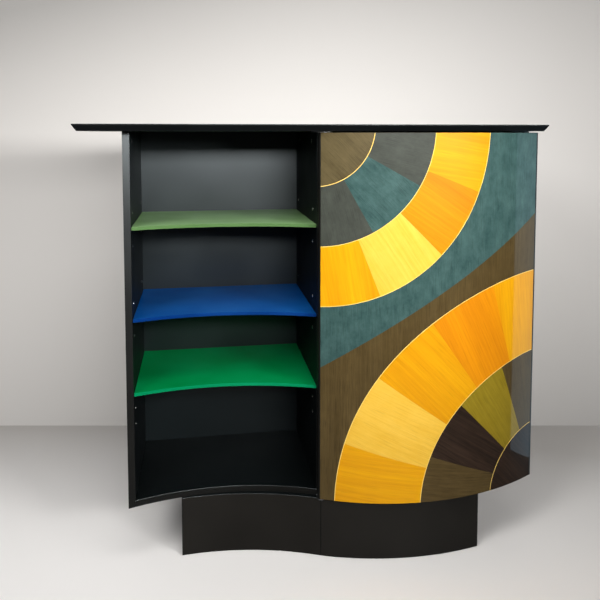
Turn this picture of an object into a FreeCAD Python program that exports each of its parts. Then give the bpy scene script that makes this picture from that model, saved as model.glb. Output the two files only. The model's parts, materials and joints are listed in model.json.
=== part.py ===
import FreeCAD, Part
import os

import Sketcher
from FreeCAD import Placement, Rotation, Vector

# Tall cabinet with an S-shaped plan: a hollow open bay on the left, a bowed bay on the right, and one bowed
# door that turns about an upright axis at the middle seam and closes either bay.
# Lengths are in millimetres. Plan places are measured from the door's axis: x to the right, y to the back.

# name, value, meaning
DIMENSIONS = (
    ("slab_length", 1404, "length of the top slab, centred on the door axis"),
    ("slab_front", 42, "slab front edge ahead of the door axis"),
    ("slab_back_lap", 3, "slab rear edge behind the back panel"),
    ("slab_thickness", 20, "slab thickness"),
    ("slab_undercut", 11, "how far the slab's front and ends slope in towards the underside"),
    ("slab_land", 3, "upright band at the slab's upper edge"),
    ("left_width", 577, "left side panel's outer face from the door axis"),
    ("right_width", 679, "right side panel's outer face from the door axis"),
    ("carcass_depth", 422, "rear edges of the uprights behind the door axis"),
    ("carcass_height", 1125, "from the plinth to the slab"),
    ("panel", 20, "thickness of the sides, the partition and the bottom"),
    ("back_thickness", 12, "thickness of the back panel"),
    ("bow_radius", 790, "radius of the door at the middle of its thickness"),
    ("bow_middle", 316, "door axis to the foremost line of the bow, along x"),
    ("door_thickness", 22, "thickness of the door with its veneers"),
    ("door_overhang", 23, "free edge of the door's face past the right side panel, along x"),
    ("door_gap", 2.5, "door face to the carcass fronts"),
    ("door_head_gap", 4, "door to the slab"),
    ("door_foot_gap", 4, "door to the plinth"),
    ("veneer", 1, "thickness of the face and inner veneers"),
    ("glue_line", 0.15, "glue between the door's core and its veneers"),
    ("hinge_lipping", 30, "width of the solid lipping behind the round hinge edge"),
    ("tip_lipping", 8, "width of the lipping on the free edge"),
    ("tip_round", 2, "rounding of the free edge"),
    ("plinth_height", 185, "floor to the underside of the carcass"),
    ("plinth_left_inset", 155, "left end of the plinth in from the left side panel"),
    ("plinth_right_inset", 182, "right end of the plinth in from the right side panel"),
    ("plinth_back_inset", 28, "plinth rear face ahead of the uprights' rear edges"),
    ("plinth_board", 20, "thickness of the plinth boards"),
    ("hollow_radius", 884, "radius of the hollow plinth front"),
    ("hollow_middle", 347, "door axis to the deepest line of the hollow plinth, along x"),
    ("swell_radius", 927, "radius of the bowed plinth front"),
    ("swell_middle", 309, "door axis to the foremost line of the bowed plinth, along x"),
    ("glide_height", 2, "thickness of the floor glides"),
    ("glide_diameter", 16, "floor glides"),
    ("glide_inset", 30, "floor glides from the ends of the plinth's cross boards"),
    ("shelf_thickness", 10, "thickness of the glass shelves"),
    ("shelf_setback", 2, "shelf front behind the carcass front"),
    ("shelf_side_gap", 1, "shelf ends to the uprights"),
    ("shelf_back_gap", 1, "shelf rear edge to the back panel"),
    ("shelf_low", 523, "underside of the lower shelves above the floor"),
    ("shelf_mid", 746, "underside of the middle shelves above the floor"),
    ("shelf_high", 1020, "underside of the upper shelves above the floor"),
    ("pin_diameter", 5, "shelf pins"),
    ("pin_reach", 8, "how far a shelf pin stands out of the wall"),
    ("pin_front", 92, "front pin column behind the door axis"),
    ("pin_rear_inset", 44, "rear pin column ahead of the uprights' rear edges"),
    ("pin_pitch", 50, "spacing of the pin holes"),
    ("sleeve_diameter", 7, "pin sleeves"),
    ("sleeve_length", 9, "depth of the pin sleeves"),
    ("sleeve_flange", 9.5, "diameter of the sleeve flange"),
    ("flange_thickness", 0.8, "thickness of the sleeve flange"),
    ("pivot_diameter", 8, "door pivot pins"),
    ("pivot_depth", 20, "how far a pivot pin enters the door"),
    ("bush_diameter", 12, "door bushes"),
    ("bush_length", 24, "length of the door bushes"),
    ("plate_thickness", 3, "pivot plates"),
    ("plate_width", 22, "pivot plates"),
    ("head_plate_length", 64, "upper pivot plate, centred on the door axis"),
    ("foot_plate_reach", 66, "rear end of the lower pivot plate behind the door axis"),
    ("washer_diameter", 18, "thrust washer under the door"),
    ("thrust_gap", 0.1, "thrust washer to the door"),
    ("screw_diameter", 4, "countersunk wood screws"),
    ("screw_head", 8, "countersunk heads"),
    ("plate_screw_length", 15, "pivot plate screws"),
    ("plate_screw_spacing", 20, "pivot plate screws from each other or from the axis"),
    ("back_screw_length", 35, "back panel screws"),
    ("back_screw_margin", 70, "first back screw from the corner"),
    ("cam_diameter", 15, "cam fittings that draw the slab down"),
    ("cam_depth", 14, "depth of the cam fittings"),
    ("cam_drop", 30, "cam centre below the slab"),
    ("cam_bolt", 6, "cam bolts"),
    ("cam_bolt_grip", 12, "how far a cam bolt enters the slab"),
    ("cam_front", 115, "front cams behind the door axis"),
    ("cam_rear_inset", 77, "rear cams ahead of the uprights' rear edges"),
    ("dowel_diameter", 8, "dowels"),
    ("dowel_short", 12, "dowel depth across a panel's thickness"),
    ("dowel_long", 18, "dowel depth along a panel"),
    ("dowel_front", 120, "front dowels behind the door axis"),
    ("dowel_rear_inset", 58, "rear dowels ahead of the uprights' rear edges"),
    ("magnet_diameter", 10, "door catch magnets"),
    ("magnet_length", 9, "door catch magnets"),
    ("magnet_inset", 120, "magnets from the door's upper and lower edges"),
    ("strike_diameter", 14, "steel strike discs in the door"),
    ("strike_thickness", 2, "steel strike discs in the door"),
    ("fit_gap", 0.05, "radial clearance of pins, dowels and sleeves in their holes"),
    ("hole_spare", 0.5, "spare depth at the bottom of a blind hole"),
)

doc = FreeCAD.newDocument("credenza")
sheet = doc.addObject("Spreadsheet::Sheet", "dims")
for row, (alias, value, meaning) in enumerate(DIMENSIONS, start=1):
    sheet.set(f"A{row}", meaning)
    sheet.set(f"B{row}", str(value))
    sheet.setAlias(f"B{row}", alias)
doc.recompute()

pieces = []


def size(alias):
    """A driving dimension as a number."""
    return float(sheet.get(alias))


# Derived places, as formulas of the driving dimensions.
BOW_DEPTH = "sqrt(dims.bow_radius^2 - dims.bow_middle^2)"
HOLLOW_DEPTH = "sqrt(dims.hollow_radius^2 - dims.hollow_middle^2)"
SWELL_DEPTH = "sqrt(dims.swell_radius^2 - dims.swell_middle^2)"
DOOR_OUTER = "(dims.bow_radius + dims.door_thickness / 2)"
DOOR_INNER = "(dims.bow_radius - dims.door_thickness / 2)"
HOLLOW_FRONT = f"({DOOR_OUTER} + dims.door_gap)"
BOW_FRONT = f"({DOOR_INNER} - dims.door_gap)"
FOREMOST = f"({BOW_DEPTH} - {DOOR_OUTER})"
BACK_FACE = "(dims.carcass_depth + dims.back_thickness)"
REARMOST = f"({BACK_FACE} + dims.slab_back_lap)"
PIVOT_Y = f"(0 - ({FOREMOST} + {REARMOST}) / 2)"
SLAB_FOOT = "(dims.plinth_height + dims.carcass_height)"
SLAB_HEAD = f"({SLAB_FOOT} + dims.slab_thickness)"
BOTTOM_TOP = "(dims.plinth_height + dims.panel)"
LEFT_INNER = "(dims.panel - dims.left_width)"
RIGHT_INNER = "(dims.right_width - dims.panel)"
HALF_PANEL = "(dims.panel / 2)"
PARTITION_FRONT = f"(sqrt({HOLLOW_FRONT}^2 - (dims.bow_middle - {HALF_PANEL})^2) - {BOW_DEPTH})"
PLINTH_BACK = "(dims.carcass_depth - dims.plinth_back_inset)"
PLINTH_LEFT = "(dims.plinth_left_inset - dims.left_width)"
PLINTH_RIGHT = "(dims.right_width - dims.plinth_right_inset)"
DOOR_REACH = "(dims.right_width + dims.door_overhang)"
DOOR_FOOT = "(dims.plinth_height + dims.door_foot_gap)"
DOOR_HEAD = f"({SLAB_FOOT} - dims.door_head_gap)"
PLATE_TOP = "(dims.plinth_height + dims.plate_thickness)"
LEAN = "acos(dims.bow_middle / dims.bow_radius)"
HINGE_ANGLE = f"(180 deg + {LEAN})"
SWEEP = f"(180 deg - {LEAN} - acos(({DOOR_REACH} - dims.bow_middle) / {DOOR_OUTER}))"
HINGE_LIP = "(dims.hinge_lipping / dims.bow_radius * 180 deg / pi)"
TIP_LIP = "(dims.tip_lipping / dims.bow_radius * 180 deg / pi)"


def bind(obj, **formulas):
    for name, formula in formulas.items():
        obj.setExpression(name, formula)
    return obj


def place(obj, x, y, z):
    """Puts an object at a plan place measured from the door axis, at a height above the floor."""
    obj.setExpression("Placement.Base.x", x)
    obj.setExpression("Placement.Base.y", f"{PIVOT_Y} + {y}")
    obj.setExpression("Placement.Base.z", z)
    return obj


def box(name, x, y, z):
    """A box between the low and high formulas of each axis."""
    obj = doc.addObject("Part::Box", name)
    bind(obj, Length=f"{x[1]} - ({x[0]})", Width=f"{y[1]} - ({y[0]})", Height=f"{z[1]} - ({z[0]})")
    return place(obj, x[0], f"({y[0]})", z[0])


def cylinder(name, radius, x, y, low, high):
    obj = doc.addObject("Part::Cylinder", name)
    bind(obj, Radius=radius, Height=f"{high} - {low}")
    return place(obj, x, f"({y})", low)


def combine(kind, name, base, tool):
    obj = doc.addObject(f"Part::{kind}", name)
    obj.Base = base
    obj.Tool = tool
    obj.Refine = kind == "Fuse"
    return obj


def cut(name, base, tool):
    return combine("Cut", name, base, tool)


def common(name, base, tool):
    return combine("Common", name, base, tool)


def fuse(name, base, tool):
    return combine("Fuse", name, base, tool)


def piece(obj):
    """Marks an object as one finished piece of the cabinet."""
    pieces.append(obj)
    return obj


def flat_sketch(body, name, role):
    sketch = body.newObject("Sketcher::SketchObject", name)
    plane = next(item for item in body.Origin.OriginFeatures if item.Role == role)
    sketch.AttachmentSupport = [(plane, "")]
    sketch.MapMode = "FlatFace"
    return sketch


def outline(sketch, corners):
    """A closed run of lines whose corners are bound to formulas."""
    count = len(corners)
    guess = [Rotation(Vector(0, 0, 1), 360 * step / count).multVec(Vector(10, 1, 0)) for step in range(count)]
    for step in range(count):
        sketch.addGeometry(Part.LineSegment(guess[step], guess[(step + 1) % count]), False)
    for step in range(count):
        sketch.addConstraint(Sketcher.Constraint("Coincident", step, 2, (step + 1) % count, 1))
    for step, (across, up) in enumerate(corners):
        if across == "0":
            sketch.addConstraint(Sketcher.Constraint("PointOnObject", step, 1, -2))
        else:
            row = sketch.addConstraint(Sketcher.Constraint("DistanceX", -1, 1, step, 1, guess[step].x))
            sketch.setExpression(f"Constraints[{row}]", across)
        if up == "0":
            sketch.addConstraint(Sketcher.Constraint("PointOnObject", step, 1, -1))
        else:
            row = sketch.addConstraint(Sketcher.Constraint("DistanceY", -1, 1, step, 1, guess[step].y))
            sketch.setExpression(f"Constraints[{row}]", up)


def turned(name, corners):
    """A round piece: a half profile of radius and height, turned about its own Z axis."""
    body = doc.addObject("PartDesign::Body", name)
    profile = flat_sketch(body, f"{name}_profile", "XZ_Plane")
    outline(profile, corners)
    turning = body.newObject("PartDesign::Revolution", f"{name}_turning")
    turning.Profile = profile
    turning.ReferenceAxis = (profile, ["V_Axis"])
    turning.Angle = 360
    return body


def group(name, pattern, places):
    """Copies of one turned piece, as separate solids of one node."""
    feature = doc.addObject("Part::Feature", name)
    copies = []
    for at in places:
        copy = pattern.Shape.copy()
        copy.Placement = at
        copies.append(copy)
    feature.Shape = Part.makeCompound(copies)
    feature.Placement = Placement()
    return feature


# Datum points: the door axis on the floor, and the middle of the bow's circle.
pivot = bind(doc.addObject("Part::Vertex", "pivot"), Y=PIVOT_Y)
bow_centre = doc.addObject("Part::Vertex", "bow_centre")
bind(bow_centre, X="dims.bow_middle", Y=f"{PIVOT_Y} + {BOW_DEPTH}")
doc.recompute()
pivot_y = float(pivot.Y)
slab_foot = size("plinth_height") + size("carcass_height")
bottom_top = size("plinth_height") + size("panel")
left_inner = size("panel") - size("left_width")
right_inner = size("right_width") - size("panel")
half_panel = size("panel") / 2
left_middle = left_inner - half_panel
right_middle = right_inner + half_panel
depth = size("carcass_depth")
back_face = depth + size("back_thickness")


def spot(x, y, z, facing):
    """A place for a turned piece whose own Z axis points along facing."""
    return Placement(Vector(x, pivot_y + y, z), Rotation(Vector(0, 0, 1), Vector(*facing)))


TO_RIGHT = (1, 0, 0)
TO_LEFT = (-1, 0, 0)
TO_BACK = (0, 1, 0)
UPWARDS = (0, 0, 1)
DOWNWARDS = (0, 0, -1)

# Round patterns: each fastener or bush, and the hole that it sits in.
PIN_RADIUS = "dims.pin_diameter / 2"
PIN_BORE = f"{PIN_RADIUS} + dims.fit_gap"
SLEEVE_RADIUS = "dims.sleeve_diameter / 2"
sleeve = turned("sleeve_pattern", (
    (PIN_BORE, "0 - dims.sleeve_length"),
    (SLEEVE_RADIUS, "0 - dims.sleeve_length"),
    (SLEEVE_RADIUS, "0"),
    ("dims.sleeve_flange / 2", "0"),
    ("dims.sleeve_flange / 2", "dims.flange_thickness"),
    (PIN_BORE, "dims.flange_thickness"),
))
shelf_pin = turned("shelf_pin_pattern", (
    ("0", "0 - dims.sleeve_length"),
    (PIN_RADIUS, "0 - dims.sleeve_length"),
    (PIN_RADIUS, "dims.pin_reach"),
    ("0", "dims.pin_reach"),
))


def plain_hole(name, radius, depth, rise):
    """A round cutter from below a surface to a little above it."""
    bore = f"{radius} + dims.fit_gap"
    return turned(name, (
        ("0", f"0 - ({depth}) - dims.hole_spare"),
        (bore, f"0 - ({depth}) - dims.hole_spare"),
        (bore, rise),
        ("0", rise),
    ))


def plain_rod(name, radius, depth, rise):
    return turned(name, (
        ("0", f"0 - ({depth})"),
        (radius, f"0 - ({depth})"),
        (radius, rise),
        ("0", rise),
    ))


def screw_profile(length, clearance):
    """Corners of a countersunk screw from its tip up to the edge of its head, which lies at height zero."""
    shank = f"dims.screw_diameter / 2 + {clearance}"
    tip = f"0 - ({length}) - {clearance}"
    return (
        ("0", tip),
        (shank, tip),
        (shank, "0 - (dims.screw_head - dims.screw_diameter) / 2"),
        (f"dims.screw_head / 2 + {clearance}", "0"),
    )


def wood_screw(name, length):
    return turned(name, (*screw_profile(length, "0"), ("0", "0")))


def screw_hole(name, length):
    """The countersunk hole of a screw, open a little way above the surface."""
    mouth = "dims.screw_head / 2 + dims.fit_gap"
    return turned(name, (
        *screw_profile(length, "dims.fit_gap"),
        (mouth, "dims.hole_spare"),
        ("0", "dims.hole_spare"),
    ))


sleeve_hole = plain_hole("sleeve_hole_pattern", SLEEVE_RADIUS, "dims.sleeve_length", "dims.hole_spare")
plate_screw = wood_screw("plate_screw_pattern", "dims.plate_screw_length")
plate_screw_hole = screw_hole("plate_screw_hole_pattern", "dims.plate_screw_length")
back_screw = wood_screw("back_screw_pattern", "dims.back_screw_length")
back_screw_hole = screw_hole("back_screw_hole_pattern", "dims.back_screw_length")
cam = plain_rod("cam_pattern", "dims.cam_diameter / 2", "dims.cam_depth", "0")
cam_hole = plain_hole("cam_hole_pattern", "dims.cam_diameter / 2", "dims.cam_depth", "dims.hole_spare")
cam_bolt = plain_rod("cam_bolt_pattern", "dims.cam_bolt / 2", "dims.cam_drop", "dims.cam_bolt_grip")
cam_bolt_hole = plain_hole(
    "cam_bolt_hole_pattern", "dims.cam_bolt / 2", "dims.cam_drop", "dims.cam_bolt_grip + dims.hole_spare")
dowel = plain_rod("dowel_pattern", "dims.dowel_diameter / 2", "dims.dowel_long", "dims.dowel_short")
dowel_hole = plain_hole(
    "dowel_hole_pattern", "dims.dowel_diameter / 2", "dims.dowel_long", "dims.dowel_short + dims.hole_spare")
MAGNET_RADIUS = "dims.magnet_diameter / 2"
magnet = plain_rod("magnet_pattern", MAGNET_RADIUS, "dims.magnet_length", "0")
magnet_hole = plain_hole("magnet_hole_pattern", MAGNET_RADIUS, "dims.magnet_length", "dims.hole_spare")
STRIKE_RADIUS = "dims.strike_diameter / 2"
strike_hole = plain_hole("strike_hole_pattern", STRIKE_RADIUS, "dims.strike_thickness", "dims.hole_spare")
strike = plain_rod("strike_pattern", STRIKE_RADIUS, "dims.strike_thickness", "0")
glide = plain_rod("glide_pattern", "dims.glide_diameter / 2", "dims.glide_height", "0")
doc.recompute()

# Pin columns: a row of three holes for each shelf. The lowest shelf lies on its uppermost row.
pin_drop = size("pin_diameter") / 2
pitch = size("pin_pitch")
used_rows = [size(shelf) - pin_drop for shelf in ("shelf_low", "shelf_mid", "shelf_high")]
spare_rows = [used_rows[0] - pitch, used_rows[0] - 2 * pitch]
spare_rows += [used + side * pitch for used in used_rows[1:] for side in (-1, 1)]
columns = (size("pin_front"), depth - size("pin_rear_inset"))


def wall_spots(wall_x, facing, rows):
    return [spot(wall_x, y, z, facing) for y in columns for z in rows]


WALLS = {
    "left_side": (left_inner, TO_RIGHT),
    "partition_left": (-half_panel, TO_LEFT),
    "partition_right": (half_panel, TO_RIGHT),
    "right_side": (right_inner, TO_LEFT),
}
sleeve_holes = {}
for wall, (wall_x, facing) in WALLS.items():
    all_rows = wall_spots(wall_x, facing, used_rows + spare_rows)
    piece(group(f"{wall}_pin_sleeves", sleeve, all_rows))
    sleeve_holes[wall] = group(f"{wall}_pin_holes", sleeve_hole, all_rows)
BAYS = {
    "left": ("left_side", "partition_left"),
    "right": ("partition_right", "right_side"),
}
for bay, walls in BAYS.items():
    rests = [rest for wall in walls for rest in wall_spots(*WALLS[wall], used_rows)]
    piece(group(f"{bay}_shelf_pins", shelf_pin, rests))

# Cam fittings and their bolts, which draw the slab down on the uprights.
cam_z = slab_foot - size("cam_drop")
cam_columns = (size("cam_front"), depth - size("cam_rear_inset"))
CAM_WALLS = {
    "left_side": (left_inner, left_middle, TO_RIGHT),
    "partition": (-half_panel, 0, TO_LEFT),
    "right_side": (right_inner, right_middle, TO_LEFT),
}
cam_spots = []
bolt_spots = []
cam_holes = {}
for wall, (face, middle, facing) in CAM_WALLS.items():
    wall_cams = [spot(face, y, cam_z, facing) for y in cam_columns]
    cam_holes[wall] = group(f"{wall}_cam_holes", cam_hole, wall_cams)
    cam_spots += wall_cams
    bolt_spots += [spot(middle, y, slab_foot, UPWARDS) for y in cam_columns]
bolt_holes = group("slab_bolt_holes", cam_bolt_hole, bolt_spots)
piece(cut("slab_cams", group("slab_cam_blanks", cam, cam_spots), bolt_holes))
piece(group("slab_bolts", cam_bolt, bolt_spots))

# Dowels: bottom to sides, partition to bottom, carcass to plinth.
dowel_rear = depth - size("dowel_rear_inset")
dowel_columns = (size("dowel_front"), (size("dowel_front") + dowel_rear) / 2, dowel_rear)
bottom_middle = size("plinth_height") + half_panel
side_dowels = [spot(left_inner, y, bottom_middle, TO_LEFT) for y in dowel_columns]
side_dowels += [spot(right_inner, y, bottom_middle, TO_RIGHT) for y in dowel_columns]
partition_dowels = [spot(0, y, bottom_top, DOWNWARDS) for y in dowel_columns]
half_board = size("plinth_board") / 2
cross_boards = (
    left_middle - half_panel + size("plinth_left_inset") + half_board,
    -half_board,
    half_board,
    right_middle + half_panel - size("plinth_right_inset") - half_board,
)
plinth_dowels = [spot(x, y, size("plinth_height"), UPWARDS) for x in cross_boards
                 for y in (dowel_columns[0], dowel_columns[2])]
piece(group("carcass_dowels", dowel, side_dowels + partition_dowels))
piece(group("plinth_dowels", dowel, plinth_dowels))
carcass_dowel_holes = group("carcass_dowel_holes", dowel_hole, side_dowels + partition_dowels)
plinth_dowel_holes = group("plinth_dowel_holes", dowel_hole, plinth_dowels)

# Screws of the back panel: upright rows into the sides and the partition, one row into the bottom.
ROW_COUNT = 5
lowest = bottom_top + size("back_screw_margin")
highest = slab_foot - size("back_screw_margin")
heights = [lowest + (highest - lowest) * step / (ROW_COUNT - 1) for step in range(ROW_COUNT)]
back_screws = [spot(x, back_face, z, TO_BACK) for x in (left_middle, 0, right_middle) for z in heights]
for start, end in ((left_inner, -half_panel), (half_panel, right_inner)):
    for share in (0.25, 0.5, 0.75):
        back_screws.append(spot(start + share * (end - start), back_face, bottom_middle, TO_BACK))
piece(group("back_screws", back_screw, back_screws))
back_screw_holes = group("back_screw_holes", back_screw_hole, back_screws)

# Pivot hardware: a plate, a pin and, under the door, a thrust washer.
PIVOT_RADIUS = "dims.pivot_diameter / 2"
PIVOT_BORE = f"{PIVOT_RADIUS} + dims.fit_gap"
plate_foot = slab_foot - size("plate_thickness")
spacing = size("plate_screw_spacing")
head_screws = [spot(side * spacing, 0, plate_foot, DOWNWARDS) for side in (-1, 1)]
foot_screw_y = size("foot_plate_reach") - size("plate_width") / 2
foot_screws = [spot(0, foot_screw_y - back * spacing, size("plinth_height"), DOWNWARDS) for back in (0, 1)]
piece(group("pivot_plate_screws", plate_screw, head_screws + foot_screws))
plate_screw_holes = group("plate_screw_holes", plate_screw_hole, head_screws + foot_screws)

HALF_PLATE = "(dims.plate_width / 2)"
HEAD_PLATE_FOOT = f"({SLAB_FOOT} - dims.plate_thickness)"
HEAD_END = f"(dims.head_plate_length / 2 - {HALF_PLATE})"
head_blank = box("head_plate_bar", (f"0 - {HEAD_END}", HEAD_END), (f"0 - {HALF_PLATE}", HALF_PLATE),
                 (HEAD_PLATE_FOOT, SLAB_FOOT))
for end, side in (("left", f"0 - {HEAD_END}"), ("right", HEAD_END)):
    nose = cylinder(f"head_plate_{end}_end", HALF_PLATE, side, "0", HEAD_PLATE_FOOT, SLAB_FOOT)
    head_blank = fuse(f"head_plate_with_{end}_end", head_blank, nose)
pivot_bore = cylinder("pivot_bore", PIVOT_BORE, "0", "0", "0", SLAB_FOOT)
piece(cut("upper_pivot_plate", cut("head_plate_drilled", head_blank, plate_screw_holes), pivot_bore))

foot_nose = cylinder("foot_plate_nose", HALF_PLATE, "0", "0", "dims.plinth_height", PLATE_TOP)
foot_bar = box("foot_plate_bar", (f"0 - {HALF_PLATE}", HALF_PLATE), ("0", "dims.foot_plate_reach"),
               ("dims.plinth_height", PLATE_TOP))
foot_blank = fuse("foot_plate_blank", foot_bar, foot_nose)
piece(cut("lower_pivot_plate", cut("foot_plate_drilled", foot_blank, plate_screw_holes), pivot_bore))
UPPER_PIN_Z = (f"({DOOR_HEAD} - dims.pivot_depth)", SLAB_FOOT)
LOWER_PIN_Z = ("dims.plinth_height", f"({DOOR_FOOT} + dims.pivot_depth)")
piece(cylinder("upper_pivot_pin", PIVOT_RADIUS, "0", "0", *UPPER_PIN_Z))
piece(cylinder("lower_pivot_pin", PIVOT_RADIUS, "0", "0", *LOWER_PIN_Z))
washer_disc = cylinder("thrust_washer_disc", "dims.washer_diameter / 2", "0", "0", PLATE_TOP,
                       f"({DOOR_FOOT} - dims.thrust_gap)")
piece(cut("thrust_washer", washer_disc, pivot_bore))

# Front lines: solids of revolution whose walls are the curved fronts, from the floor to above the slab.
HOLLOW_PLACE = ("0 - dims.bow_middle", f"0 - {BOW_DEPTH}")
BOW_PLACE = ("dims.bow_middle", BOW_DEPTH)
HOLLOW_SHELF = f"{HOLLOW_FRONT} + dims.shelf_setback"
BOW_SHELF = f"{BOW_FRONT} - dims.shelf_setback"
hollow_front = cylinder("hollow_front", HOLLOW_FRONT, *HOLLOW_PLACE, "0", SLAB_HEAD)
bow_front = cylinder("bow_front", BOW_FRONT, *BOW_PLACE, "0", SLAB_HEAD)
hollow_shelf_front = cylinder("hollow_shelf_front", HOLLOW_SHELF, *HOLLOW_PLACE, "0", SLAB_HEAD)
bow_shelf_front = cylinder("bow_shelf_front", BOW_SHELF, *BOW_PLACE, "0", SLAB_HEAD)

# Top slab: its front and ends slope in towards the underside.
slab = doc.addObject("PartDesign::Body", "slab_blank")
HALF_SLAB = "dims.slab_length / 2"


def slab_corners(inset):
    front = f"0 - dims.slab_front + {inset}"
    end = f"{HALF_SLAB} - {inset}"
    return ((f"0 - ({end})", front), (end, front), (end, REARMOST), (f"0 - ({end})", REARMOST))


underside = flat_sketch(slab, "slab_underside", "XY_Plane")
outline(underside, slab_corners("dims.slab_undercut"))
rim = flat_sketch(slab, "slab_rim", "XY_Plane")
rim.setExpression("AttachmentOffset.Base.z", "dims.slab_thickness - dims.slab_land")
outline(rim, slab_corners("0"))
doc.recompute()
slope = slab.newObject("PartDesign::AdditiveLoft", "slab_slope")
slope.Profile = underside
slope.Sections = [rim]
slope.Ruled = True
doc.recompute()
land = slab.newObject("PartDesign::Pad", "slab_band")
land.Profile = rim
land.setExpression("Length", "dims.slab_land")
place(slab, "0", "0", SLAB_FOOT)
doc.recompute()
piece(cut("top_slab", cut("slab_bolted", slab, bolt_holes), plate_screw_holes))

# Uprights, bottom and back.
UPRIGHT_Z = ("dims.plinth_height", SLAB_FOOT)
DEPTH = (FOREMOST, "dims.carcass_depth")


def drilled(name, blank, *tools):
    """A blank with its holes; the last cut carries the piece's name."""
    for step, tool in enumerate(tools):
        last = step == len(tools) - 1
        blank = cut(name if last else f"{name}_step_{step}", blank, tool)
    return piece(blank)


left_blank = box("left_side_blank", ("0 - dims.left_width", LEFT_INNER), DEPTH, UPRIGHT_Z)
drilled("left_side_panel", left_blank, hollow_front, sleeve_holes["left_side"], cam_holes["left_side"],
        bolt_holes, carcass_dowel_holes, back_screw_holes)

right_board = box("right_side_blank", (RIGHT_INNER, "dims.right_width"), DEPTH, UPRIGHT_Z)
right_blank = common("right_side_curved", right_board, bow_front)

# Door catches: magnets in the right side's front edge, square to the bow, and strike discs in the door.
catch_x = right_middle - float(bow_centre.X)
front_radius = size("bow_radius") - size("door_thickness") / 2 - size("door_gap")
catch_y = -(front_radius ** 2 - catch_x ** 2) ** 0.5
outwards = Vector(catch_x, catch_y, 0).normalize()
catch_heights = (
    size("plinth_height") + size("door_foot_gap") + size("magnet_inset"),
    slab_foot - size("door_head_gap") - size("magnet_inset"),
)


def catch_spots(radius, facing):
    places = []
    for z in catch_heights:
        at = Vector(float(bow_centre.X), float(bow_centre.Y), z) + outwards * radius
        places.append(Placement(at, Rotation(Vector(0, 0, 1), facing)))
    return places


piece(group("catch_magnets", magnet, catch_spots(front_radius, outwards)))
magnet_holes = group("catch_magnet_holes", magnet_hole, catch_spots(front_radius, outwards))
drilled("right_side_panel", right_blank, sleeve_holes["right_side"], cam_holes["right_side"], bolt_holes,
        carcass_dowel_holes, back_screw_holes, magnet_holes)

partition_blank = box("partition_blank", (f"0 - {HALF_PANEL}", HALF_PANEL),
                      (PARTITION_FRONT, "dims.carcass_depth"), (BOTTOM_TOP, SLAB_FOOT))
drilled("centre_partition", partition_blank, sleeve_holes["partition_left"], sleeve_holes["partition_right"],
        cam_holes["partition"], bolt_holes, carcass_dowel_holes, back_screw_holes)

BOTTOM_Z = ("dims.plinth_height", BOTTOM_TOP)
left_floor = box("bottom_left_blank", (LEFT_INNER, "0"), DEPTH, BOTTOM_Z)
right_floor = box("bottom_right_blank", ("0", RIGHT_INNER), DEPTH, BOTTOM_Z)
floor_blank = fuse("bottom_blank", cut("bottom_left_half", left_floor, hollow_front),
                   common("bottom_right_half", right_floor, bow_front))
plate_pocket = box("plate_pocket", (f"0 - {HALF_PLATE} - dims.fit_gap", f"{HALF_PLATE} + dims.fit_gap"),
                   ("0", "dims.foot_plate_reach + dims.fit_gap"), ("dims.plinth_height", PLATE_TOP))
drilled("bottom_panel", floor_blank, plate_pocket, plate_screw_holes, carcass_dowel_holes, plinth_dowel_holes,
        back_screw_holes)

back_blank = box("back_blank", ("0 - dims.left_width", "dims.right_width"),
                 ("dims.carcass_depth", BACK_FACE), UPRIGHT_Z)
drilled("back_panel", back_blank, back_screw_holes)

# Glass shelves of both bays.
SHELVES = {"upper": "dims.shelf_high", "middle": "dims.shelf_mid", "lower": "dims.shelf_low"}
SHELF_BACK = "dims.carcass_depth - dims.shelf_back_gap"
for level, underside_z in SHELVES.items():
    shelf_z = (underside_z, f"({underside_z} + dims.shelf_thickness)")
    left_x = (f"{LEFT_INNER} + dims.shelf_side_gap", f"0 - {HALF_PANEL} - dims.shelf_side_gap")
    right_x = (f"{HALF_PANEL} + dims.shelf_side_gap", f"{RIGHT_INNER} - dims.shelf_side_gap")
    left_glass = box(f"left_{level}_glass", left_x, (FOREMOST, SHELF_BACK), shelf_z)
    right_glass = box(f"right_{level}_glass", right_x, (FOREMOST, SHELF_BACK), shelf_z)
    piece(cut(f"left_{level}_shelf", left_glass, hollow_shelf_front))
    piece(common(f"right_{level}_shelf", right_glass, bow_shelf_front))

# Plinths: two curved boxes that meet at the middle seam.
PLINTH_Z = ("dims.glide_height", "dims.plinth_height")
PLINTH_DEPTH = (FOREMOST, PLINTH_BACK)
HOLLOW_PLINTH = ("0 - dims.hollow_middle", f"0 - {HOLLOW_DEPTH}")
SWELL_PLINTH = ("dims.swell_middle", SWELL_DEPTH)
BOARD = "dims.plinth_board"
hollow_face = cylinder("hollow_plinth_face", "dims.hollow_radius", *HOLLOW_PLINTH, "0", SLAB_FOOT)
hollow_rear = cylinder("hollow_plinth_rear", f"dims.hollow_radius + {BOARD}", *HOLLOW_PLINTH, "0", SLAB_FOOT)
swell_face = cylinder("swell_plinth_face", "dims.swell_radius", *SWELL_PLINTH, "0", SLAB_FOOT)
swell_rear = cylinder("swell_plinth_rear", f"dims.swell_radius - {BOARD}", *SWELL_PLINTH, "0", SLAB_FOOT)

left_blank = box("left_plinth_blank", (PLINTH_LEFT, "0"), PLINTH_DEPTH, PLINTH_Z)
piece(cut("left_plinth_front", common("left_plinth_curve", left_blank, hollow_rear), hollow_face))
right_blank = box("right_plinth_blank", ("0", PLINTH_RIGHT), PLINTH_DEPTH, PLINTH_Z)
piece(cut("right_plinth_front", common("right_plinth_curve", right_blank, swell_face), swell_rear))

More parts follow.
